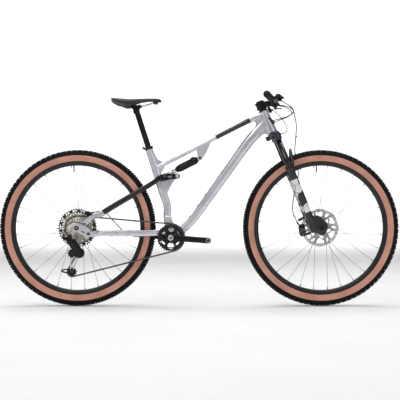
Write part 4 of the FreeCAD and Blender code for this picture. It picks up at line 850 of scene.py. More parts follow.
def build_hub(body, node, centre, m, flanges, ends):
    """A black hub shell: waisted tube, drilled flanges and end caps."""
    left, right = flanges
    low, high = ends
    shell = [(9.0, low), (10.6, low + 0.4), (10.6, low + 7), (14.5, low + 9), (15.5, right - 9),
        (21, right - 4), (29.0, right - 2.2), (29.6, right), (29.0, right + 2.0), (21, right + 3.4),
        (15.0, right + 9), (12.8, (right + left) / 2), (15.0, left - 9), (21, left - 3.4),
        (29.0, left - 2.0), (29.6, left), (29.0, left + 2.2), (21, left + 4), (16.5, left + 7),
        (15.5, high - 10), (12.5, high - 8), (10.6, high - 7), (10.6, high - 0.4), (9.0, high)]
    bore = [(7.6, high), (7.6, low)]
    hub = wheel_lathe(node + "_shell", shell + bore, centre, [m["satin_black"]], 72, closed=True)
    parts = [hub]
    for side in (left, right):
        for a in turns(SPOKES // 2):
            place = at(centre[0] + 26.5 * math.cos(a), centre[1] + 26.5 * math.sin(a), side - 3.2)
            parts.append(lathe("spoke_head", [(0.2, 0), (1.6, 0.2), (2.0, 1.0), (2.0, 5.4),
                (1.6, 6.2), (0.2, 6.4)], place, Y_AXIS, [m["spoke_steel"]], 8))
    return fitted(joined(node + "_built", parts), body, "black_alloy", node)


def plate(name, loops, y0, y1, mats):
    """A flat plate between y0 and y1 from an outline and its holes, as (x, z) loops."""
    bm = bmesh.new()
    edges = []
    for loop in loops:
        ring = [bm.verts.new(at(x, z, y0)) for x, z in loop]
        edges += [bm.edges.new((ring[i], ring[(i + 1) % len(ring)])) for i in range(len(ring))]
    bmesh.ops.triangle_fill(bm, use_beauty=True, use_dissolve=False, edges=edges)
    out = bmesh.ops.extrude_face_region(bm, geom=list(bm.faces))
    moved = [v for v in out["geom"] if isinstance(v, bmesh.types.BMVert)]
    bmesh.ops.translate(bm, vec=(0, (y1 - y0) * 0.001, 0), verts=moved)
    bmesh.ops.recalc_face_normals(bm, faces=bm.faces)
    mesh = bpy.data.meshes.new(name)
    bm.to_mesh(mesh)
    bm.free()
    return placed(name, mesh, mats)


def polar(centre, r, a):
    return (centre[0] + r * math.cos(a), centre[1] + r * math.sin(a))


def hole(middle, r, sides=10):
    return [polar(middle, r, a) for a in turns(sides)]


def build_rotor(body, node, centre, r, y, disc, m):
    """A brake disc with a waved rim, two rows of holes and braced arms on a black carrier."""
    outer = []
    for a in turns(240):
        outer.append(polar(centre, r - 1.2 + 1.2 * math.cos(a * 8), a))
    loops = [outer]
    for a in turns(40):
        loops.append(hole(polar(centre, r - 5.4, a), 1.9, 8))
        loops.append(hole(polar(centre, r - 10.6, a + math.pi / 40), 1.9, 8))
    arms = 6
    inside = r - 15.5
    step = 2 * math.pi / arms
    windows = ([(26, 0.30), (26, 0.62), (inside * 0.62, 0.86), (inside * 0.74, 0.80),
        (inside * 0.66, 0.60), (inside * 0.52, 0.40)],
        [(inside, f) for f in (0.28, 0.40, 0.52, 0.64, 0.76)]
        + [(inside * 0.86, 0.80), (inside * 0.74, 0.60), (inside * 0.66, 0.42),
        (inside * 0.80, 0.30)], [(inside, f) for f in (0.90, 1.0, 1.10)]
        + [(inside * 0.84, 1.13), (inside * 0.72, 1.06), (inside * 0.84, 0.95)])
    for a in turns(arms):
        loops += [[polar(centre, reach, a + step * f) for reach, f in window] for window in windows]
    loops.append(hole(centre, 19, 40))
    disc_piece = plate(node + "_ring", loops, y - 0.9, y + 0.9, [disc])
    carrier = wheel_lathe("carrier", [(17, y + 1.0), (17.6, y + 3.2), (23, y + 3.0),
        (27.5, y + 1.6), (27.8, y - 1.4), (17, y - 1.4)], centre, [m["satin_black"]], 48,
        closed=True)
    heads = []
    for a in turns(arms, 0.5):
        x, z = polar(centre, 24.6, a)
        heads.append(lathe("rivet", [(0.1, 2.6), (2.0, 2.5), (2.6, 1.6), (2.6, 0)], at(x, z, y),
            Y_AXIS, [m["steel"]], 12))
    return fitted(joined(node + "_built", [disc_piece, carrier, *heads]), body, "rotor_steel", node)


def build_wheels(m):
    for body, centre, turn in (("front_wheel", FRONT_AXLE, 0.01), ("rear_wheel", REAR_AXLE, 0.03)):
        build_tyre(body, body.replace("wheel", "tyre"), centre, m, turn)
        build_rim(body, body.replace("wheel", "rim"), centre, m)
    build_hub("front_wheel", "front_hub", FRONT_AXLE, m, (22, -34), (-54.8, 54.8))
    build_rotor("front_wheel", "front_rotor", FRONT_AXLE, 90, 37, m["front_disc"], m)
    build_rotor("rear_wheel", "rear_rotor", REAR_AXLE, 80, 55.5, m["rear_disc"], m)


# ---------------------------------------------------------------- frame
def turned_bolt(name, centre, r, y0, y1, mats, ringed):
    """A pivot bolt's head, facing away from y0: rim, groove, cone and socket."""
    side = 1 if y1 > y0 else -1
    reach = abs(y1 - y0)
    profile = [(r, 0), (r, reach * 0.5), (r * 0.93, reach), (r * 0.80, reach),
        (r * 0.76, reach * 0.62), (r * ringed, reach * 0.62), (r * (ringed - 0.06), reach),
        (r * 0.34, reach * 0.9), (r * 0.30, reach * 0.25), (0.05, reach * 0.2)]
    return lathe(name, profile, at(*centre, y0), Vector((0, side, 0)), mats, 40)


def build_frame_pieces(m):
    paint = [m["frame_paint"]]

    def top(x, w, h, p=2.6):
        return (x, 0, top_tube_z(x), w, h, p)

    parts = [lathe("head", [(0.1, HEAD_LOW), (27.0, HEAD_LOW), (27.4, HEAD_LOW + 1),
        (27.2, HEAD_LOW + 6), (26.0, 510), (24.0, 545), (22.8, 575), (23.2, HEAD_TOP - 6),
        (23.4, HEAD_TOP - 1), (22.9, HEAD_TOP), (0.1, HEAD_TOP)], steer(0), STEER_AXIS, paint, 64),
        tube("top", [top(-206, 34, 24), top(-150, 36, 22), top(-60, 37, 22.5), top(60, 39, 23),
        top(170, 40, 24), top(235, 40, 27), (262, 0, 887, 40, 34, 2.6), (296, 0, 896, 38, 38, 2.8)],
        paint), tube("down", [(320, 0, 868.5, 40, 62, 3), (275, 0, 820, 46, 53, 2.8),
        (222.5, 0, 760.4, 50, 49, 2.6), (108.2, 0, 600.4, 52, 46.5, 2.6),
        (22.4, 0, 480.2, 52, 44, 2.6), (-26, 0, 413, 54, 42, 2.8), (-80, 0, 360, 56, 41, 3),
        (-140, 0, 330, 58, 40, 3)], paint),]
    seat_line = [(738, 36, 36, 2.2), (700, 36.5, 36.5, 2.2), (660, 37, 37, 2.3),
        (600, 37.5, 38, 2.4), (540, 38, 39, 2.5), (470, 42, 38.5, 3)]
    stations = [(SEAT_REF[0] + (z - SEAT_REF[1]) * SEAT_SLOPE, 0, z, w, h, p) for z, w, h,
        p in seat_line]
    stations += [(-151, 0, 425, 50, 38, 3.4), (-143, 0, 372, 56, 37, 3.6)]
    parts.append(tube("seat", stations, paint))
    parts.append(lathe("shell", [(0.1, -46), (22.3, -46), (23.0, -45), (23.0, 45), (22.3, 46),
        (0.1, 46)], at(*BB), Y_AXIS, paint, 48))
    for outline, half in (([(-212, 722), (-196, 692), (-168, 678), (-160, 660), (-182, 622),
            (-205, 640)], 15), ([(232, 800), (264, 848), (266, 858), (262, 867), (250, 872),
            (262, 884), (280, 895), (300, 906), (345, 850), (328, 811), (304, 809), (284, 800),
            (250, 780)], 18.6), ([(-190, 560), (-160, 512), (-148, 534), (-131, 570), (-117, 592),
            (-104, 600), (-92, 606), (-91, 618), (-103, 624), (-172, 606)], 19.4),
            ([(-165, 420), (-133, 424), (-118, 380), (-96, 372), (-62, 344), (-80, 334),
            (-134, 300), (-157, 318), (-150, 362)], 28.8)):
        parts.append(plate("web", [outline], -half, half, paint))
    parts.append(rod("rocker_seat", ROCKER_PIVOT, (-20.4, 20.4), 12.5, paint, 40))
    for side in (-1, 1):
        y0, y1 = 11.6 * side, 18.2 * side
        parts.append(plate("ear", [[(-14, 744), (62, 784), (30, 716),
            *arc_points(SHOCK_FRONT, 12.5, -10, -200)]], y0, y1, paint))
    for route in (REAR_HOSE_FRONT, SHIFT_FRONT):
        end, ahead = route_end(route)
        parts.append(lathe("port", [(0.1, -16), (5.4, -16), (5.6, -1.5), (4.8, -0.4), (0.1, -0.4)],
            end, ahead, paint, 20))
    frame_skin = welded(joined("frame_forms", parts), 1.9, 5, paint)
    frame_skin.name = "frame_skin"
    fitted(frame_skin, "frame", "frame_paint", "main_frame")

    # dark cable port on each side of the head tube, set into the paint
    for side in (-1, 1):
        ring = []
        a, b = Vector((327, 884)), Vector((349, 863))
        turn = math.atan2(b.y - a.y, b.x - a.x)
        for k in range(9):
            ring.append(polar(b, 6.5, turn + math.pi * (k / 8 - 0.5)))
        for k in range(9):
            ring.append(polar(a, 4.5, turn + math.pi * (k / 8 + 0.5)))
        cover = plate("port_cover_" + ("left" if side > 0 else "right"), [ring], side * 12,
            side * 23.4, [m["plastic"]])
        bevelled(cover, 1.2)
        fitted(cover, "frame", "black_alloy")

    lower = lathe("headset_lower", [(17.6, HEAD_LOW - 2.2), (25.6, HEAD_LOW - 2.2),
        (26.3, HEAD_LOW - 1.4), (26.3, HEAD_LOW - 0.3), (20, HEAD_LOW - 0.2),
        (17.6, HEAD_LOW - 0.2)], steer(0), STEER_AXIS, [m["satin_black"]], 56, closed=True)
    upper = lathe("headset_upper", [(14.6, HEAD_TOP), (22.2, HEAD_TOP + 0.2),
        (22.4, HEAD_TOP + 1.6), (21.3, HEAD_TOP + 4.6), (19.0, HEAD_TOP + 7.4),
        (14.6, HEAD_TOP + 7.5)], steer(0), STEER_AXIS, [m["satin_black"]], 56, closed=True)
    fitted(joined("headset_covers", [lower, upper]), "frame", "bearing_steel", "headset")

    cups = []
    for side in (-1, 1):
        cups.append(lathe("cup", [(12.3, 44), (21.0, 46.0), (21.6, 46.4), (21.6, 47.9),
            (20.6, 48.5), (15.4, 48.4), (14.6, 47.2), (12.3, 47.2)], at(*BB), Vector((0, side, 0)),
            [m["steel"]], 56, closed=True))
        for a in turns(16):
            x, z = polar(BB, 20.6, a)
            cups.append(lathe("notch", [(0.1, 48.9), (1.2, 48.8), (1.5, 48), (1.5, 46)], at(x, z),
                Vector((0, side, 0)), [m["bolt_steel"]], 8))
    fitted(joined("bottom_bracket_cups", cups), "frame", "bearing_steel", "bottom_bracket")

    bolts = []
    for side in (-1, 1):
        bolts.append(turned_bolt("main", MAIN_PIVOT, 12.0, side * 45.9, side * 48.2, [m["alloy"]],
            0.6))
        bolts.append(turned_bolt("rocker", ROCKER_PIVOT, 9.6, side * 27.2, side * 29.8,
            [m["alloy"]], 0.6))
        bolts.append(turned_bolt("shock", SHOCK_FRONT, 7.2, side * 18.1, side * 21.2,
            [m["bolt_steel"]], 0.6))
    bolts.append(lathe("axle", [(0.1, -46), (7.4, -46), (7.4, 46), (0.1, 46)], at(*MAIN_PIVOT),
        Y_AXIS, [m["alloy"]], 32))
    bolts.append(lathe("axle", [(0.1, -27.4), (5.9, -27.4), (5.9, 27.4), (0.1, 27.4)],
        at(*ROCKER_PIVOT), Y_AXIS, [m["alloy"]], 32))
    bolts.append(lathe("axle", [(0.1, -18.2), (3.9, -18.2), (3.9, 18.2), (0.1, 18.2)],
        at(*SHOCK_FRONT), Y_AXIS, [m["bolt_steel"]], 32))
    slope = math.atan2(760 - 480, 223 - 22.6)
    out = Vector((-math.sin(slope), 0, math.cos(slope)))
    for dist in (-88, -24, 39, 169, 231):
        foot = at(22.4 + dist * math.cos(slope), 480.2 + dist * math.sin(slope)) + out * 0.0175
        bolts.append(bolt_head("boss", foot, out, 4.5, 7.4, [m["bolt_steel"]]))
    fitted(joined("frame_bolt_heads", bolts), "frame", "bolt_steel", "frame_bolts")

    band = lathe("band", [(14.0, 0), (20.4, 0), (21.2, 1.0), (21.2, 9.6), (20.4, 10.8),
        (14.0, 10.8)], seat(738.6), seat(1) - seat(0), [m["satin_black"]], 48, closed=True)
    lug = swept("lug", [seat(743.5, -12) + mm(-24, 0, 0), seat(743.5, 12) + mm(-24, 0, 0)], 6.0,
        [m["satin_black"]], 24)
    screw = bolt_head("screw", seat(743.5, -11.6) + mm(-24, 0, 0), Vector((0, -1, 0)), 4.2, 3.0,
        [m["bolt_steel"]])
    fitted(joined("seat_clamp_built", [band, bevelled(lug, 1.0), screw]), "frame", "black_alloy",
        "seat_clamp")


def arc_points(centre, r, start, end, count=12):
    """Points on a circle from one angle to another, in degrees."""
    return [polar(centre, r, math.radians(start + (end - start) * k / count))
        for k in range(count + 1)]


def hull(c0, r0, c1, r1, count):
    """The outline round two circles."""
    dx, dz = c1[0] - c0[0], c1[1] - c0[1]
    base = math.degrees(math.atan2(dz, dx))
    lean = math.degrees(math.acos((r0 - r1) / math.hypot(dx, dz)))
    ring = arc_points(c1, r1, base - lean, base + lean, count)
    return ring + arc_points(c0, r0, base + lean, base + 360 - lean, count)


# ---------------------------------------------------------------- saddle and seatpost
def build_saddle(m):
    post = lathe("post", [(0.1, 590), (11.4, 590), (13.6, 591), (13.6, 903), (12.9, 904.4),
        (12.6, 916), (0.1, 916)], seat(0), Vector((SEAT_SLOPE, 0, 1)), [m["gloss_black"]], 48)
    lean = math.hypot(1, SEAT_SLOPE)
    for v in post.data.vertices:
        t = (v.co - seat(0)).dot(Vector((SEAT_SLOPE, 0, 1)).normalized())
        v.co += Vector((SEAT_SLOPE, 0, 1)).normalized() * (t * (lean - 1))
    cradle = plate("cradle", [arc_points((-297, 921), 15, 0, 360, 40)[:-1]], -17, 17,
        [m["satin_black"]])
    web = plate("web", [[(-309, 905), (-284, 905), (-280, 922), (-313, 920)]], -12, 12,
        [m["satin_black"]])
    head = bevelled(joined("post_head", [cradle, web]), 1.4)
    fitted(joined("seatpost_built", [post, head]), "seatpost", "black_alloy", "seatpost")

    rails = []
    for side in (-1, 1):
        ends = [at(-376, 948, side * 34), at(-345, 938.5, side * 24), at(-320, 939, side * 22),
            at(-250, 942, side * 22), at(-215, 958, side * 9)]
        rails.append(swept("rail", spline_points(ends, 8), 3.5, [m["steel"]], 20))
    fitted(joined("saddle_rails_built", rails), "seatpost", "rail_steel", "saddle_rails")
    softened("saddle_clamp", 0.9, 2, [m["satin_black"]], "seatpost", "black_alloy")

    # the cover: cross sections from the tail to the nose, crowned along the top
    #           x     top  edge  half width  skirt
    stations = [(-415, 980.0, 974, 30, 6), (-413, 980.6, 971, 47, 9), (-404, 980.4, 966, 62, 12),
        (-388, 979.2, 961, 70.5, 14), (-365, 977.8, 956, 72.3, 18), (-345, 976.4, 952, 68, 23),
        (-327, 975.4, 951.5, 61, 23), (-312, 975.4, 956, 54, 12), (-298, 975.8, 960, 48, 9),
        (-275, 976.6, 964.5, 38, 6.5), (-245, 977.8, 968, 28.5, 5), (-215, 978.4, 970, 22, 5),
        (-194, 977.8, 968, 18.5, 8), (-183, 973.8, 965.5, 15, 5), (-178, 968.8, 964.8, 9, 2.5)]
    rings = []
    for x, top, edge, half, skirt in stations:
        ring = []
        for a in turns(28):
            c, s = math.cos(a), math.sin(a)
            y = half * math.copysign(abs(c) ** 0.72, c)
            if s < 0:
                y *= 1 - 0.35 * abs(s) * skirt / 23
            if s >= 0:
                valley = 2.2 * math.exp(-(y / 7.0) ** 2) * (1 if -395 < x < -215 else 0.2)
                z = edge + (top - edge) * s ** 0.75 - valley * s
            else:
                z = edge + skirt * s
            ring.append(mm(x, y, z))
        rings.append(ring)
    cover = loft("saddle_pad", rings, [m["saddle_skin"], m["plastic"]])
    smooth = cover.modifiers.new("round", "SUBSURF")
    smooth.levels = 2
    applied(cover)
    # a piped seam runs round the widest line, and pressed grooves follow the top
    for v in cover.data.vertices:
        x, y, z = v.co * 1000
        if z > 969 and -392 < x < -230:
            groove = abs(abs(y) - (16 + (-230 - x) * 0.17))
            v.co.z -= 0.0009 * math.exp(-(groove / 1.6) ** 2)
    cover.data.shade_smooth()
    fitted(cover, "seatpost", "saddle_skin", "saddle_cover")

    line = []
    for x, top, edge, half, skirt in stations[1:-1]:
        line.append(mm(x, half - 0.2, edge - 0.6))
    line += [mm(-178.4, 0, 963.2)] + [mm(v.x * 1000, -v.y * 1000, v.z * 1000)
        for v in reversed(line)]
    welt = swept("saddle_welt", [Vector(p) for p in smooth_line([tuple(v) for v in line], 4)], 0.9,
        [m["saddle_skin"]], 8)
    fitted(welt, "seatpost", "saddle_skin")

    under = []
    for x, top, edge, half, skirt in stations[1:]:
        ring = []
        inner = max(half * 0.62, 4)
        for a in turns(24):
            y = inner * math.copysign(abs(math.cos(a)) ** 0.6, math.cos(a))
            z = edge - skirt * 0.8 + 3.2 * math.sin(a)
            ring.append(mm(x, y, z))
        under.append(ring)
    shell = loft("saddle_shell_built", under, [m["plastic"]])
    bumpers = []
    for side in (-1, 1):
        bumpers.append(swept("socket", [mm(-388, side * 35, 953), mm(-372, side * 33, 947)],
            [8, 5.5], [m["plastic"]], 20))
    bumpers.append(swept("nose_socket", [mm(-196, 0, 961), mm(-216, 0, 956.5)], [12, 8],
        [m["plastic"]], 24))
    fitted(joined("saddle_shell_joined", [shell, *bumpers]), "seatpost", "saddle_plastic",
        "saddle_shell")


# ---------------------------------------------------------------- fork
def leg(s, side, n=LEG_AHEAD):
    return steer(s, n, side * LEG_Y)


def leg_lathe(name, profile, side, mats, steps=56):
    return lathe(name, profile, leg(0, side), STEER_AXIS, mats, steps)


def slab(name, corners, thickness, mats):
    """A plate across the bicycle: corners are (s, n, y) on the fork, thickness runs ahead."""
    front = [steer(s, n + thickness / 2, y) for s, n, y in corners]
    back = [steer(s, n - thickness / 2, y) for s, n, y in corners]
    return loft(name, [front, back], mats)


def build_fork(m):
    crown_paint = [m["crown_black"]]
    forms = []
    for side in (-1, 1):
        forms.append(leg_lathe("socket", [(0.1, 440), (19.6, 440), (20.6, 441.5), (20.6, 462),
            (19.4, 476), (15, 480.5), (0.1, 480.5)], side, crown_paint))
    deck = [(452, -66), (458, -38), (461, 0), (458, 38), (452, 66), (474, 66), (480, 34),
        (480, -34), (474, -66)]
    forms.append(slab("bridge", [(s, 5, y) for s, y in deck], 34, crown_paint))
    forms.append(lathe("race", [(0.1, 455), (23, 455), (24.5, 470), (24.5, 478), (22.5, 480.4),
        (0.1, 480.4)], steer(0), STEER_AXIS, crown_paint, 48))
    crown = welded(joined("crown_forms", forms), 1.5, 5, crown_paint)
    parts = [crown]
    parts.append(lathe("steerer", [(0.1, 470), (14.3, 470), (14.3, 640), (0.1, 640)], steer(0),
        STEER_AXIS, [m["satin_black"]], 40))
    for side in (-1, 1):
        parts.append(leg_lathe("stanchion", [(0.1, 172), (15, 172), (15, 442), (0.1, 442)], side,
            [m["stanchion"]], 64))
        parts.append(leg_lathe("cap", [(13.4, 479.5), (13.4, 482.2), (12.6, 483.2), (7, 483.2),
            (6.4, 482), (0.1, 482)], side, [m["satin_black"]], 40))
    knob_base = steer(463, -33, -LEG_Y + 4)
    knob = []
    for t, r in ((-11, 8.4), (-10, 9.4), (9, 9.6), (10.5, 8.8), (11, 7)):
        ring = []
        side, up = basis(STEER_AXIS)
        for k in range(48):
            a = 2 * math.pi * k / 48
            reach = r + (0.35 if k % 4 < 2 else -0.35)
            ring.append(knob_base + (side * math.cos(a) + up * math.sin(a)) * reach * 0.001
                + STEER_AXIS.normalized() * t * 0.001)
        knob.append(ring)
    parts.append(loft("lockout_knob", knob, [m["plastic"]]))
    parts.append(swept("knob_arm", [steer(463, -33, -LEG_Y + 2), steer(462, -8, -LEG_Y)],
        [7.0, 8.0], crown_paint, 20))
    end, ahead = route_end(LOCKOUT_CABLE)
    parts.append(lathe("stop", [(0.1, -10), (4, -10), (4.2, -1), (3.4, 0), (0.1, 0)], end, ahead,
        [m["plastic"]], 20))
    fitted(joined("fork_crown_built", parts), "steering", "fork_paint", "fork_crown")

    paint = [m["fork_paint"]]
    forms = []
    for side in (-1, 1):
        forms.append(leg_lathe("leg", [(0.1, -26), (12, -25), (17, -18), (18.4, -6), (18.2, 40),
            (18.4, 150), (19.2, 270), (19.6, 288), (20.2, 290), (20.2, 298), (19.0, 302.5),
            (0.1, 302.5)], side, paint))
        foot = [(512, 384), (535, 424), (552, 428), (566, 420), (580, 406), (594, 396), (600, 382),
            (599, 366), (594, 352), (584, 338), (570, 333), (557, 340), (544, 350), (528, 352)]
        y0, y1 = sorted((side * 55.0, side * 76.0))
        forms.append(plate("foot", [foot], y0, y1, paint))
        forms.append(rod("axle_boss", FRONT_AXLE, (side * 55.0, side * 77.0), [17, 16], paint, 32))
    arch = []
    for k in range(25):
        a = math.radians(180 * k / 24)
        arch.append((286 + 92 * math.sin(a), LEG_AHEAD + 14 + 26 * math.sin(a),
            LEG_Y * math.cos(a)))
    for shift, r in ((0, 6.4), (3.4, 5.0), (-3.4, 5.0)):
        forms.append(swept("arch", [steer(s + shift * 0.9, n, y) for s, n, y in arch], r, paint,
            20))
    for a, b in ((at(503, 417, 57), at(470, 402, 47)), (at(530, 343, 57), at(500, 334, 47))):
        forms.append(swept("mount", [a, (a + b) / 2, b], [8.5, 6.5, 6.5], paint, 20))
    lowers = welded(joined("lower_forms", forms), 1.7, 5, paint)
    extras = [lowers]
    for side in (-1, 1):
        extras.append(leg_lathe("seal", [(15.15, 302), (18.6, 302), (19.1, 303), (19.1, 305),
            (17.6, 307.4), (15.15, 308)], side, [m["bead_rubber"]], 48))
        for k in range(9):
            s = -13 + k * 6.0
            ring = [(18.2, s - 1.7), (19.5, s - 0.9), (19.5, s + 0.9), (18.2, s + 1.7)]
            extras.append(leg_lathe("rib", ring, side, paint, 56))
        extras.append(leg_lathe("foot_nut", [(0.1, -31), (6.0, -31), (7.2, -30), (7.2, -24),
            (0.1, -24)], side, [m["bolt_steel"]], 24))
    fitted(joined("fork_lowers_built", extras), "fork_lowers", "fork_paint", "fork_lowers")

    axle = lathe("axle_rod", [(0.1, -77), (7.4, -77), (7.4, 76.6), (5.8, 77), (4.2, 77), (4.0, 74),
        (0.1, 74)], at(*FRONT_AXLE), Y_AXIS, [m["alloy"]], 32)
    head = turned_bolt("axle_head", FRONT_AXLE, 10.6, -76.2, -80.4, [m["satin_black"]], 0.6)
    fitted(joined("front_axle_built", [axle, head]), "fork_lowers", "axle_alloy", "front_axle")
    build_caliper("front_caliper", FRONT_AXLE, 90, 188, 37, 60, FRONT_HOSE, "fork_lowers", m)


def build_caliper(node, axle, disc_r, angle, disc_y, tall, route, body, m):
    """A two-piece brake caliper with finned pads, bolts and a banjo for its hose."""
    a = math.radians(angle)
    out = Vector((math.cos(a), 0, math.sin(a)))
    up = Vector((-out.z, 0, out.x))
    centre = at(*axle, disc_y) + out * (disc_r - 6) * 0.001
    parts = []
    for side in (-1, 1):
        rings = []
        for y, shrink in ((1.9, 0.4), (3.0, 0.0), (8.0, 0.3), (12.0, 1.6), (14.4, 5.0)):
            ring = []
            for b in turns(32):
                c, s = math.cos(b), math.sin(b)
                u = math.copysign(abs(c) ** 0.5, c) * (tall / 2 - shrink)
                w = math.copysign(abs(s) ** 0.5, s) * (15 - shrink)
                ring.append(centre + (up * u + out * w) * 0.001 + Vector((0, side * y * 0.001, 0)))
            rings.append(ring)
        parts.append(loft("half", rings, [m["satin_black"]]))
        cap = centre + Vector((0, side * 0.0135, 0))
        parts.append(lathe("piston_cap", [(11.5, 0), (11.5, 1.6), (10.4, 2.2), (8.6, 2.2),
            (8.2, 1.2), (3.5, 1.0), (3.2, 0.2), (0.1, 0.2)], cap, Vector((0, side, 0)),
            [m["satin_black"]], 40))
        for lift in (-tall / 2 + 6, tall / 2 - 6):
            foot = centre + up * lift * 0.001 + Vector((0, side * 0.0125, 0))
            parts.append(bolt_head("screw", foot, Vector((0, side, 0)), 3.8, 3.2,
                [m["bolt_steel"]]))
    middle = centre + out * 0.0125
    rings = []
    for y in (-8, -6, 6, 8):
        rings.append(oval(middle + Vector((0, y * 0.001, 0)), Y_AXIS, tall - 14, 8, 4, 24, up))
    parts.append(loft("bridge", rings, [m["satin_black"]]))
    for lift in (-9, -3, 3, 9):
        rings = [oval(centre + up * lift * 0.001 + out * t * 0.001, out, 10.0, 1.4, 5, 16, Y_AXIS)
            for t in (8, 18.5)]
        parts.append(loft("fin", rings, [m["alloy"]]))
    end, ahead = route_end(route)
    parts.append(lathe("banjo", [(0.1, -20), (3.9, -20), (4.2, -8), (4.4, -7.6), (4.4, -2.6),
        (3.4, -2), (3.4, 0), (0.1, 0)], end, ahead, [m["bolt_steel"]], 24))
    fitted(joined(node + "_built", parts), body, "caliper_paint", node)


# ---------------------------------------------------------------- cockpit
def build_cockpit(m):
    def s_n(point):
        dx, dz = point[0] - STEER_X, point[1] - AXLE_Z
        return (-dx * math.sin(TILT) + dz * math.cos(TILT),
            dx * math.cos(TILT) + dz * math.sin(TILT))

    bar_s, bar_n = s_n(BAR_CENTRE)
    black = [m["satin_black"]]
    spacers = []
    spacers.append(lathe("spacer", [(14.6, 600.6), (17.6, 600.6), (17.9, 600.9), (17.9, 602.7),
        (17.6, 603), (14.6, 603)], steer(0), STEER_AXIS, [m["gloss_black"]], 48, closed=True))
    spacers.append(lathe("top_cap", [(0.1, 641.1), (17.6, 641.1), (17.8, 642), (17, 644.4),
        (14, 645.2), (5.5, 645.0), (5.2, 643.5), (0.1, 643.5)], steer(0), STEER_AXIS, black, 48))
    spacers.append(bolt_head("cap_screw", steer(643.4), STEER_AXIS, 4.4, 3.2, [m["bolt_steel"]]))
    fitted(joined("steerer_spacers_built", spacers), "steering", "black_alloy", "steerer_spacers")

    forms = [lathe("clamp", [(14.5, 603.2), (19.4, 603.2), (20.2, 604.4), (20.2, 639.6),
        (19.4, 640.8), (14.5, 640.8)], steer(0), STEER_AXIS, black, 64, closed=True)]
    neck = [(622, 6, 34, 34), (621, 18, 31, 31), (620, 30, 30, 28), (bar_s, bar_n - 16, 36, 31),
        (bar_s, bar_n - 6, 48, 36)]
    rings = [oval(steer(s, n), AHEAD, w, h, 3.2, 32) for s, n, w, h in neck]
    forms.append(loft("neck", rings, black))
    forms.append(lathe("front", [(0.1, -26), (20.0, -26), (20.6, -25.4), (20.6, 25.4), (20.0, 26),
        (0.1, 26)], at(*BAR_CENTRE), Y_AXIS, black, 56))
    for s in STEM_BOLTS:
        forms.append(swept("lug", [steer(s, -21.5, -12), steer(s, -21.5, 12)], 5.6, black, 24))
        forms.append(swept("lug_root", [steer(s, -14, -9), steer(s, -14, 9)], 5.6, black, 24))
    fitted(welded(joined("stem_built", forms), 1.3, 3, black), "steering", "black_alloy", "stem")

    face = lathe("plate_band", [(17, -25.6), (20.9, -25.6), (21.3, -25), (21.3, 25), (20.9, 25.6),
        (17, 25.6)], at(*BAR_CENTRE), Y_AXIS, [m["gloss_black"]], 56, closed=True)
    bm = bmesh.new()
    bm.from_mesh(face.data)
    middle = steer(bar_s, bar_n + 4)
    normal = AHEAD.normalized()
    cut = bmesh.ops.bisect_plane(bm, geom=list(bm.verts) + list(bm.edges) + list(bm.faces),
        plane_co=middle, plane_no=normal, clear_inner=True)
    rims = [e for e in cut["geom_cut"] if isinstance(e, bmesh.types.BMEdge)]
    bmesh.ops.holes_fill(bm, edges=rims, sides=0)
    bm.to_mesh(face.data)
    bm.free()
    fitted(joined("stem_faceplate_built", [face]), "steering", "black_alloy", "stem_faceplate")
    screws = []
    for side in (-1, 1):
        for lift in (-16.0, 16.0):
            screws.append(bolt_head("face_screw", steer(bar_s + lift, bar_n + 13, side * 19), AHEAD,
                3.7, 5.5, [m["bolt_steel"]]))
    for s in STEM_BOLTS:
        screws.append(bolt_head("lug_screw", steer(s, -21.5, 11.6), Y_AXIS, 4.0, 3.0,
            [m["bolt_steel"]]))
    fitted(joined("cockpit_bolts_built", screws), "steering", "bolt_steel", "cockpit_bolts")

    path, radii = [], []
    for y, r in ((-370, 11.1), (-369.5, 11.1), (-180, 11.1), (-110, 11.1), (-95, 11.6), (-80, 12.8),
            (-62, 15.0), (-50, 15.8), (-45, 15.9), (0, 15.9), (45, 15.9), (50, 15.8), (62, 15.0),
            (80, 12.8), (95, 11.6), (110, 11.1), (180, 11.1), (369.5, 11.1), (370, 11.1)):
        path.append(bar_point(y))
        radii.append(r)
    fitted(swept("handlebar_built", path, radii, black, 36), "steering", "black_alloy", "handlebar")

    grips = []
    for side in (-1, 1):
        axis = (bar_point(side * 368) - bar_point(side * 236)).normalized()
        foot = bar_point(side * 236)
        profile = [(11.3, 0), (16.2, 0), (16.8, 1), (16.8, 7), (16.2, 8), (14.6, 8.4)]
        t = 10.0
        while t < 118:
            profile += [(14.6, t), (15.7, t + 0.7), (15.7, t + 2.5), (14.6, t + 3.2)]
            t += 4.6
        profile += [(14.6, 120), (16.4, 121.5), (16.8, 124), (16.6, 130.5), (15.2, 132.2)]
        grips.append(lathe("grip", profile, foot, axis, [m["grip_rubber"]], 48))
        plug = [(15.2, 132.0), (15.0, 133.4), (13, 134.0), (7, 134.1), (6.4, 133.4), (0.1, 133.4)]
        grips.append(lathe("plug", plug, foot, axis, [m["plastic"]], 48))
    fitted(joined("grips_built", grips), "steering", "grip_rubber", "grips")

    softened("brake_cylinders", 1.1, 3, [m["satin_black"]], "steering", "control_plastic")
    softened("shifter_body", 1.1, 3, [m["plastic"]], "steering", "control_plastic")
    softened("lockout_remote", 1.0, 3, [m["plastic"]], "steering", "control_plastic")
    for node, mat in (("brake_lever_right", "satin_black"), ("brake_lever_left", "satin_black"),
            ("shift_lever", "plastic"), ("release_lever", "plastic"), ("lockout_lever", "plastic")):
        softened(node, 0.8, 3, [m[mat]], node, "control_plastic")


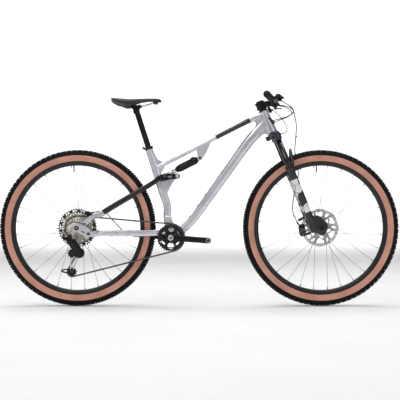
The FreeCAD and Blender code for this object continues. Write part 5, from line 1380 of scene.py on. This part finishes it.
# ---------------------------------------------------------------- rear triangle and shock
def build_rear(m):
    paint = [m["frame_paint"]]
    stations = [(-140, 38, 362, 13, 25, 4), (-172, 38.5, 352, 12.5, 27, 4),
        (-205, 39.5, 346, 12.5, 28, 4), (-260, 45, 343.5, 14, 28.5, 4), (-330, 54, 343, 15, 29, 4),
        (-420, 64, 343, 14, 28, 4), (-470, 67.6, 342.5, 11.5, 26, 4),
        (-500, 68, 341.5, 10.8, 22, 4), (-514, 68, 341.2, 10.4, 19, 4)]
    forms = []
    for side in (-1, 1):
        forms.append(tube("stay", [(x, y * side, z, w, h, p) for x, y, z, w, h, p in stations],
            paint))
        forms.append(rod("ear", MAIN_PIVOT, (side * 30.4, side * 45.4), 15.5, paint, 40))
        forms.append(rod("eye", STAY_PIVOT, (side * 62.8, side * 73.2), 11.2, paint, 40))
    forms.append(swept("bridge", [at(-181, 351, -38), at(-181, 351, 38)], 7.5, paint, 24))
    for route, r in ((REAR_HOSE_BACK, 4.4), (SHIFT_BACK, 3.9)):
        ahead = (route[1] - route[0]).normalized()
        forms.append(lathe("port", [(0.1, -12), (r, -12), (r + 0.3, -1.5), (r - 0.4, -0.3),
            (0.1, -0.3)], route[0], ahead, paint, 20))
    fitted(welded(joined("chainstay_built", forms), 1.6, 4, paint), "chainstay", "frame_paint",
        "chainstay")

    pins = []
    for side in (-1, 1):
        pins.append(turned_bolt("head", STAY_PIVOT, 8.0, side * 81.9, side * 84.6,
            [m["bolt_steel"]], 0.6))
        pins.append(rod("pin", STAY_PIVOT, (side * 63, side * 82.3), 4.9, [m["bolt_steel"]], 20))
    fitted(joined("stay_pivot_bolts_built", pins), "chainstay", "bolt_steel", "stay_pivot_bolts")

    paint = [m["stay_paint"]]
    line = [(-478, 75.6, 424.5, 8.5, 21, 3.5), (-462, 73.5, 434, 12, 23, 3),
        (-420, 66, 460.5, 13, 24, 2.8), (-340, 55, 508, 13, 24, 2.6),
        (-260, 43, 555, 12, 22.5, 2.8), (-222, 35.2, 578, 9.8, 22, 3.2),
        (-197, 32.8, 595.5, 9.4, 22, 3.4)]
    sides = []
    for side in (-1, 1):
        forms = [tube("stay", [(x, y * side, z, w, h, p) for x, y, z, w, h, p in line], paint)]
        y0, y1 = sorted((side * 74.2, side * 81.6))
        outline = [*arc_points(REAR_AXLE, 16.8, 110, 290), (-540, 334),
            *arc_points(STAY_PIVOT, 12.5, 230, 380), (-508, 357), (-515, 368), (-523, 377),
            (-522, 387), (-512, 398), (-496, 408), (-470, 424), (-474, 436), (-486, 438),
            (-514, 422), (-545, 399)]
        forms.append(plate("dropout", [outline], y0, y1, paint))
        y2, y3 = side * 27.9, side * 37.2
        forms.append(rod("eye", ROCKER_STAY, (y2, y3), 13.0, paint, 40))
        sides.append(welded(joined("stay_forms", forms), 1.3, 3, paint))
    for side in (-1, 1):
        # two slanted slots in the dropout plate, drawn as thin black plates on its face: their
        # darkness is painted shade, not a cut recess
        for a, b, r in (((-546, 352), (-536, 348), 2.6), ((-541, 385), (-533, 391), 2.4)):
            y0, y1 = sorted((side * 80.6, side * 81.95))
            ring = hull(a, r, b, r, 8)
            sides.append(plate("painted_slot_shade", [ring], y0, y1, [m["bead_rubber"]]))
    fitted(joined("seatstay_built", sides), "seatstay", "stay_paint", "seatstay")

    axle = [lathe("rod", [(0.1, -84), (5.8, -84), (5.9, -83), (5.9, 84), (0.1, 84)], at(*REAR_AXLE),
        Y_AXIS, [m["alloy"]], 32), turned_bolt("nut", REAR_AXLE, 10.8, -81.7, -84.6,
        [m["satin_black"]], 0.62), turned_bolt("head", REAR_AXLE, 9.6, 82.0, 86.6,
        [m["satin_black"]], 0.6), lathe("end_cap", [(6.0, 70), (9.0, 70), (9.5, 70.6), (9.5, 73.4),
        (9.0, 73.9), (6.0, 73.9)], at(*REAR_AXLE), Y_AXIS, [m["alloy"]], 32, closed=True)]
    fitted(joined("rear_axle_built", axle), "seatstay", "axle_alloy", "rear_axle")
    build_caliper("rear_caliper", REAR_AXLE, 80, 49.4, 55.5, 46, REAR_HOSE_BACK, "seatstay", m)
    softened("derailleur_hanger", 0.8, 2, [m["alloy"]], "seatstay", "hanger_alloy")

    pieces = []
    for side in (-1, 1):
        y0, y1 = sorted((side * 21.0, side * 27.0))
        outline = (arc_points(ROCKER_PIVOT, 13, -85, 95) + [(-135, 620.5), (-150, 623.5)]
            + arc_points(ROCKER_SHOCK, 11.5, 60, 120) + [(-183, 617)]
            + arc_points(ROCKER_STAY, 12.5, 100, 265) + [(-165, 589), (-135, 597.5)])
        holes = [hull((-133, 609.5), 5.2, (-146, 608), 3.6, 8)]
        blade = bevelled(plate("blade", [outline, *holes], y0, y1, [m["gloss_black"]]), 1.2, 2, 50)
        pieces.append(blade)
        pieces.append(turned_bolt("pin_head", ROCKER_STAY, 11.5, side * 38.6, side * 41.4,
            [m["satin_black"]], 0.6))
        pieces.append(turned_bolt("shock_pin", ROCKER_SHOCK, 7.0, side * 26.8, side * 28.6,
            [m["bolt_steel"]], 0.6))
        pieces.append(rod("pin", ROCKER_STAY, (side * 26.5, side * 39), 4.0, [m["bolt_steel"]], 20))
        pieces.append(rod("spacer", ROCKER_SHOCK, (side * 11.7, side * 21.5), 6.4,
            [m["satin_black"]], 24))
    pieces.append(rod("pin", ROCKER_SHOCK, (-21.8, 21.8), 4.0, [m["bolt_steel"]], 20))
    fitted(joined("rocker_built", pieces), "rocker", "stay_paint", "rocker_link")


def build_shock(m):
    front, rear = at(*SHOCK_FRONT), at(*ROCKER_SHOCK)
    d = (rear - front).normalized()
    up = Vector((d.z, 0, -d.x))
    length = (rear - front).length * 1000

    def on(t, lift=0.0, y=0.0):
        return front + (d * t + up * lift) * 0.001 + Vector((0, y * 0.001, 0))

    can = [lathe("can", [(0.1, 9), (10.6, 9), (11.2, 14), (16.2, 19.5), (17.6, 21), (18.0, 24),
        (18.0, 47), (17.4, 48), (17.4, 50), (18.0, 51), (18.0, 103), (17.4, 106), (14.2, 119),
        (13.4, 121.6), (10.4, 122), (10.4, 66), (0.1, 66)], front, d, [m["gloss_black"]], 64)]
    can.append(rod("eye", SHOCK_FRONT, (-11.4, 11.4), 10.0, [m["satin_black"]], 40))
    can.append(lathe("seal", [(10.3, 121.4), (13.0, 121.6), (13.2, 123.4), (12.2, 125),
        (10.3, 125.4)], front, d, [m["bead_rubber"]], 48, closed=True))
    can.append(lathe("valve_cap", [(0.1, 23.4), (4.6, 23.4), (5.4, 22.6), (5.6, 16), (0.1, 16)],
        on(30), up, [m["alloy"]], 28))
    can.append(swept("dial", [on(36, 17), on(36, 20.6)], [6.0, 5.2], [m["plastic"]], 28))
    fitted(joined("shock_body_built", can), "shock_body", "shock_black", "shock_body")

    shaft = [lathe("shaft", [(0.1, 108), (10.0, 108), (10.0, length - 14), (9.0, length - 11),
        (8.0, length - 6), (0.1, length - 6)], front, d, [m["chrome"]], 48)]
    shaft.append(lathe("travel_ring", [(10.05, 162.4), (11.4, 162.6), (11.6, 164), (11.4, 165.4),
        (10.05, 165.6)], front, d, [m["bead_rubber"]], 40, closed=True))
    shaft.append(lathe("eye", [(6.5, -10.8), (8.2, -10.8), (8.6, -10.2), (8.6, 10.2), (8.2, 10.8),
        (6.5, 10.8)], at(*ROCKER_SHOCK), Y_AXIS, [m["satin_black"]], 40, closed=True))
    fitted(joined("shock_shaft_built", shaft), "shock_shaft", "shaft_chrome", "shock_shaft")


# ---------------------------------------------------------------- drivetrain
def build_cranks(m):
    tip = (BB[0] + CRANK_LENGTH * math.cos(CRANK_DROP), BB[1] - CRANK_LENGTH * math.sin(CRANK_DROP))
    for side, node in ((-1, "crank_arm_right"), (1, "crank_arm_left")):
        rings = []
        for t, y, w, h, p in ((-0.10, 66.0, 10, 22, 3), (-0.085, 66.0, 15, 33, 3),
                (0.0, 66.5, 16, 38, 3), (0.12, 67.6, 16, 36, 3), (0.25, 69.5, 15, 31.5, 3.2),
                (0.45, 72.8, 14.6, 28.5, 3.4), (0.7, 76.6, 14.2, 27.6, 3.4), (0.9, 78.6, 14, 28, 3),
                (1.0, 79.0, 14, 28.6, 2.6), (1.06, 79.0, 13, 22, 2.4), (1.08, 79.0, 9, 13, 2.2)):
            x = BB[0] + (tip[0] - BB[0]) * t
            z = BB[1] + (tip[1] - BB[1]) * t
            if side > 0:
                x, z = 2 * BB[0] - x, 2 * BB[1] - z
            way = at(tip[0], tip[1]) - at(*BB)
            rings.append(oval(at(x, z, y * side), way * (-1 if side > 0 else 1), w, h, p, 40))
        arm = loft("arm", rings, [m["gloss_black"]])
        end = tip if side < 0 else (2 * BB[0] - tip[0], 2 * BB[1] - tip[1])
        parts = [arm]
        parts.append(lathe("boss", [(12.1, 57), (18.5, 57), (19, 58), (19, 72), (18, 74.6),
            (12.1, 74.6)], at(*BB), Vector((0, side, 0)), [m["gloss_black"]], 48, closed=True))
        parts.append(lathe("cap", [(13.2, 73.6), (13.2, 75.2), (12.4, 76), (7.0, 76), (6.6, 74.4),
            (0.1, 74.4)], at(*BB), Vector((0, side, 0)), [m["steel"]], 40))
        thread = [(7.1, 70.6), (9.4, 70.6), (9.4, 86.4), (7.1, 86.4)]
        parts.append(lathe("pedal_eye", [(7.1, 72), (13.2, 72), (13.8, 73), (13.8, 85.2),
            (13.2, 86), (9.6, 86.2), (9.0, 86), (7.1, 85.4)], at(*end), Vector((0, side, 0)),
            [m["gloss_black"]], 48, closed=True))
        parts.append(lathe("insert", thread, at(*end), Vector((0, side, 0)), [m["steel"]], 36,
            closed=True))
        if side > 0:
            parts.append(lathe("spindle", [(0.1, -73), (12, -73), (12, 60), (0.1, 60)], at(*BB),
                Y_AXIS, [m["steel"]], 40))
        fitted(joined(node + "_built", parts), "crankset", "black_alloy", node)

    # bolts and raised arms over the chainring's own plate
    spider = []
    for k in range(3):
        a = math.radians(35 + 120 * k)
        x, z = polar(BB, 27.5, a)
        spider.append(bolt_head("ring_bolt", at(x, z, RING_Y - 0.4), Vector((0, -1, 0)), 3.4, 1.6,
            [m["bolt_steel"]]))
    rim = lathe("ring_step", [(50.5, 0.2), (50.5, 1.7), (49.6, 2.2), (46.6, 2.2), (45.6, 1.4),
        (45.6, 0.2)], at(*BB, RING_Y), Vector((0, -1, 0)), [m["satin_black"]], 96, closed=True)
    fitted(joined("chainring_trim", [*spider, rim]), "crankset", "black_alloy")


def loose_parts(mesh):
    """Sets of vertex numbers, one for each piece that isn't joined to the others."""
    parent = list(range(len(mesh.vertices)))

    def root(i):
        while parent[i] != i:
            parent[i] = parent[parent[i]]
            i = parent[i]
        return i

    for edge in mesh.edges:
        a, b = root(edge.vertices[0]), root(edge.vertices[1])
        if a != b:
            parent[a] = b
    groups = {}
    for i in range(len(mesh.vertices)):
        groups.setdefault(root(i), []).append(i)
    return list(groups.values())


def stretch_name(x, z):
    """The stretch of chain that a link here belongs to."""
    if math.hypot(x - BB[0], z - BB[1]) < RING_REACH and x > RING_BACK:
        return "ring"
    if x < COGS_FROM and (z > RUN_TOP or z < RUN_LOW) or x < CAGE_FROM:
        return "rear"
    return ("upper" if z > RUN_TOP else "lower") + ("_front" if x > RUN_MIDDLE else "_back")


def build_chain(m):
    """The chain in stretches: fixed round the ring and the cogs, with the runs between as separate
    pieces.
    """
    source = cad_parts["chain"].data
    groups = loose_parts(source)
    stretch_of = {}
    for group in groups:
        centre = sum((source.vertices[i].co for i in group), Vector()) / len(group)
        name = stretch_name(centre.x * 1000, centre.z * 1000)
        for i in group:
            stretch_of[i] = name
    for name in ("ring", "rear", "upper_front", "upper_back", "lower_front", "lower_back"):
        keep = {i for i, n in stretch_of.items() if n == name}
        order = {old: new for new, old in enumerate(sorted(keep))}
        verts = [source.vertices[i].co.copy() for i in sorted(keep)]
        faces = [tuple(order[v] for v in p.vertices) for p in source.polygons
            if p.vertices[0] in keep]
        piece = place_mesh("chain_" + name, verts, faces, [m["chain_steel"]], smooth=False)
        piece.data.set_sharp_from_angle(angle=math.radians(35))
        if name == "ring":
            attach(piece, "frame")
            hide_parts("chain")
        elif name == "rear":
            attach(piece, "seatstay")
        elif name.endswith("front"):
            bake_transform(piece)
        else:
            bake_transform(piece)


def carried(node, mat):
    """A CAD piece that is shown as it is, with the given material."""
    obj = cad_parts[node]
    obj.data.materials.clear()
    obj.data.materials.append(mat)


def cog(teeth, y, phase):
    """One sprocket: teeth round the rim, and windows between six arms on the larger ones."""
    pitch = PITCH / 2 / math.sin(math.pi / teeth)
    root, tip = pitch - 4.0, pitch + 2.4
    rim = []
    for k in range(teeth):
        for f, r in ((0.0, root), (0.12, root + 0.3), (0.24, root + 1.2), (0.40, tip - 0.4),
                (0.45, tip), (0.55, tip), (0.60, tip - 0.4), (0.76, root + 1.2),
                (0.88, root + 0.3)):
            rim.append(polar(REAR_AXLE, r, phase + (k + f) * 2 * math.pi / teeth))
    inner = max(pitch - (27 if teeth > 38 else 17), 14.4)
    loops = [rim]
    if teeth < 18:
        loops.append([polar(REAR_AXLE, min(inner, root - 4), -2 * math.pi * k / 48)
            for k in range(48)])
    else:
        arms = 14 if teeth > 38 else 9
        outer = root - 3.2
        for k in range(arms):
            a0 = phase + 2 * math.pi * (k + 0.5 * (teeth % 3)) / arms
            half = math.pi / arms
            window = [polar(REAR_AXLE, outer, a0 + half * f) for f in (-0.62, -0.3, 0, 0.3, 0.62)]
            window += [polar(REAR_AXLE, inner + 2.5, a0 + half * f) for f in (0.55, 0.0, -0.55)]
            loops.append(window)
        loops.append([polar(REAR_AXLE, inner, -2 * math.pi * k / 60) for k in range(60)])
    return bevelled(plate("cog", loops, y - 0.75, y + 0.75, []), 0.25, 1, 40)


def build_cassette(m):
    cogs = []
    for i, teeth in enumerate(COG_TEETH):
        disc = cog(teeth, -67.0 + COG_GAP * i, math.radians(COG_PHASE)
            + (0 if teeth == CHAIN_COG else 0.11 * i))
        disc.data.materials.append(m["cassette_steel"])
        cogs.append(disc)
    for y0, y1, r in ((-68.6, -53, 15.0), (-53, -38, 27.0), (-38, -29.5, 47.0),
            (-29.5, -25.4, 62.0)):
        r_in = 6.5 if r < 20 else r - 2.4
        cogs.append(lathe("carrier", [(r_in, y0), (r - 0.5, y0), (r, y0 + 0.5), (r, y1 - 0.5),
            (r - 0.5, y1), (r_in, y1)], at(*REAR_AXLE), Y_AXIS, [m["cassette_steel"]], 72,
            closed=True))
    for k in range(6):
        a = 2 * math.pi * k / 6 + 0.3
        ring = [polar(REAR_AXLE, 13.5, a - 0.14), polar(REAR_AXLE, 60.5, a + 0.16),
            polar(REAR_AXLE, 60.5, a + 0.26), polar(REAR_AXLE, 13.5, a + 0.16)]
        cogs.append(plate("arm", [ring], -30.5, -27.0, [m["cassette_steel"]]))
    fitted(joined("cassette_built", cogs), "cassette", "cassette_steel", "cassette")


def build_derailleur(m):
    """Cast knuckles and link covers, and a cage of two pierced plates round the pulleys."""
    dark = [m["satin_black"]]
    softened("derailleur_knuckle", 0.9, 3, dark, "seatstay", "derailleur_black")
    softened("derailleur_arm", 0.9, 3, dark, "seatstay", "derailleur_black")
    cover = [(-613, -81.5, 327, 8, 14, 2.6), (-609, -82, 320, 13, 25, 3),
        (-600, -82, 307, 16, 31, 3.2), (-589, -81.5, 291, 17.5, 33, 3.4),
        (-577, -78, 273, 17, 32, 3.4), (-566, -72, 257, 16, 33, 3), (-556, -69.5, 243, 13, 27, 2.8),
        (-551, -69, 236, 8, 14, 2.4)]
    body = tube("link_cover", cover, dark, 6, 36)
    rib = tube("rib", [(-604, -91.4, 309, 3, 9, 2.4), (-590, -91, 291, 3.6, 11, 2.4),
        (-575, -87.4, 271, 3, 9, 2.4)], [m["plastic"]], 5, 20)
    fitted(joined("derailleur_cover", [body, rib]), "seatstay", "derailleur_black")

    foot = hull(CAGE_TIP, 7.5, TENSION_PULLEY, 15, 16)
    holes = [hull((-634, 167.6), 3.0, (-621, 165.8), 5.2, 8)]
    holes += [hole(polar(TENSION_PULLEY, 10.2, math.radians(a)), 2.3) for a in (-125, -30, 48, 140)]
    built = []
    for y0, y1 in ((-48.2, -46.4), (-36.4, -34.6)):
        built.append(plate("cage_foot", [foot, *holes], y0, y1, [m["satin_black"]]))
        built.append(plate("cage_link", [hull(GUIDE_PULLEY, 10.5, (-601.5, 232), 4.2, 10)],
            y0 + 0.1, y1 - 0.1, [m["satin_black"]]))
        built.append(plate("cage_arm", [hull((-601, 240), 2.8, (-603, 172), 2.8, 8)], y0 + 0.2,
            y1 - 0.2, [m["alloy"]]))
    built.append(plate("cage_arm", [hull((-566, 240), 3.2, (-590, 174), 2.8, 8)], -48.1, -46.5,
        [m["alloy"]]))
    built.append(plate("cage_root", [hull(LOWER_KNUCKLE, 14, GUIDE_PULLEY, 10, 12)], -48.3, -46.3,
        [m["satin_black"]]))
    built = [bevelled(item, 0.3, 1, 40) for item in built]
    for centre in (GUIDE_PULLEY, TENSION_PULLEY, CAGE_TIP):
        built.append(rod("pin", centre, (-47, -35), 2.5, [m["bolt_steel"]], 20))
        built.append(turned_bolt("bolt", centre, 4.6, -48.0, -49.6, [m["bolt_steel"]], 0.6))
    built.append(rod("pivot", LOWER_KNUCKLE, (-49.6, -46.4), 8.0, [m["satin_black"]], 28))
    fitted(joined("derailleur_cage_built", built), "seatstay", "derailleur_black",
        "derailleur_cage")


def build_drivetrain(m):
    build_cranks(m)
    build_chain(m)
    build_cassette(m)
    carried("chainring", m["satin_black"])
    carried("guide_pulley", m["plastic"])
    carried("tension_pulley", m["plastic"])
    carried("front_spokes", m["spoke_steel"])
    carried("rear_spokes", m["spoke_steel"])
    carried("rear_hub", m["satin_black"])
    lock = lathe("cassette_lockring", [(10.5, 66.5), (16.5, 67.0), (17.2, 67.8), (17.2, 69.4),
        (16.4, 70.2), (11.2, 70.2), (10.5, 69.4)], at(*REAR_AXLE), Vector((0, -1, 0)), [m["steel"]],
        48, closed=True)
    fitted(lock, "cassette", "cassette_steel")
    build_derailleur(m)
    trim = []
    for centre, r, y in (((-606, 316), 11.5, -90), ((-560, 252), 17.0, -72)):
        trim.append(turned_bolt("cap", centre, r, y + 0.2, y - 1.8, [m["satin_black"]], 0.72))
    trim.append(turned_bolt("hanger_bolt", (-603, 331), 7.0, -83.8, -86.0, [m["bolt_steel"]], 0.6))
    foot, ahead = route_end(SHIFT_BACK)
    barrel = [(0.1, -15), (4.7, -15)]
    for k in range(5):
        t = -13.5 + k * 2.6
        barrel += [(5.5, t), (5.5, t + 1.5), (4.9, t + 1.8), (4.9, t + 2.4)]
    barrel += [(4.6, 0), (3.0, 0.6), (0.1, 0.6)]
    trim.append(lathe("barrel", barrel, foot, ahead, [m["plastic"]], 24))
    fitted(joined("derailleur_trim", trim), "seatstay", "derailleur_black")


# ---------------------------------------------------------------- hoses and cables
FRONT_HOSE = [bar_point(136, 40, -3), at(392, 954, 110), at(428, 946, 76), at(448, 928, 58),
    at(453, 902, 51), at(461, 866, 48), at(461, 822, 47), at(456, 776, 47), at(453, 728, 46),
    at(462, 680, 45), at(472, 632, 43), at(466, 582, 41), at(451, 534, 41), at(444, 488, 42),
    at(442, 455, 42), at(448, 425, 41), at(463, 397, 38)]
REAR_HOSE_FRONT = [bar_point(-136, 40, -3), at(392, 951, -104), at(430, 936, -66),
    at(446, 910, -46), at(414, 890, -36), at(384, 882, -31), at(350, 873.5, -19)]
REAR_HOSE_BACK = [at(-372, 361, 58), at(-404, 392, 53), at(-434, 430, 51), at(-466, 449, 53),
    at(-500, 441, 55.5)]
SHIFT_FRONT = [bar_point(-146, 40, -30), at(398, 930, -100), at(428, 921, -58), at(436, 903, -34),
    at(414, 888, -21), at(384, 877, -16), at(354, 866.5, -12)]
SHIFT_BACK = [at(-466, 354.5, -75.5), at(-493, 361, -85), at(-525, 381, -86.5), at(-556, 395, -87),
    at(-590, 397, -88), at(-616, 383, -88), at(-629, 361, -86), at(-631, 338, -82)]
LOCKOUT_CABLE = [bar_point(154, 22, -28.5), at(370, 918, 96), at(390, 889, 44), at(412, 852, 4),
    at(414, 826, -24), at(400, 812, -48), at(382, 808, -62)]


def build_hoses(m):
    rubber = [m["hose"]]

    def hose(name, route, r):
        piece = swept(name, spline_points(route, 12), r, rubber, 14)
        return piece

    front = hose("front_hose_run", FRONT_HOSE, 2.5)
    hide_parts("front_brake_hose")
    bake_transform(front)
    rear = hose("rear_hose_front_run", REAR_HOSE_FRONT, 2.5)
    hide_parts("rear_brake_hose")
    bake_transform(rear)
    shift = hose("shift_front_run", SHIFT_FRONT, 2.2)
    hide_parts("control_cables")
    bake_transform(shift)
    back = hose("rear_hose_back_run", REAR_HOSE_BACK, 2.5)
    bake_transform(back)
    shift_back = hose("shift_back_run", SHIFT_BACK, 2.2)
    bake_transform(shift_back)
    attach(hose("lockout_run", LOCKOUT_CABLE, 2.0), "steering")

    wraps = []
    for place, way, r in ((at(460.6, 800, 47), at(0, -1), 3.6),
            (at(451, 700, 45.6), at(0, -1), 3.6)):
        wraps.append(lathe("wrap", [(2.55, -4), (r, -3.6), (r, 3.6), (2.55, 4)], place, way,
            [m["bead_rubber"]], 20, closed=True))
    clips = joined("hose_wraps", wraps)
    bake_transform(clips)


build_stage()
MATERIALS = build_materials()
build_wheels(MATERIALS)
build_frame_pieces(MATERIALS)
build_saddle(MATERIALS)
build_fork(MATERIALS)
build_cockpit(MATERIALS)
build_rear(MATERIALS)
build_shock(MATERIALS)
build_drivetrain(MATERIALS)
build_hoses(MATERIALS)
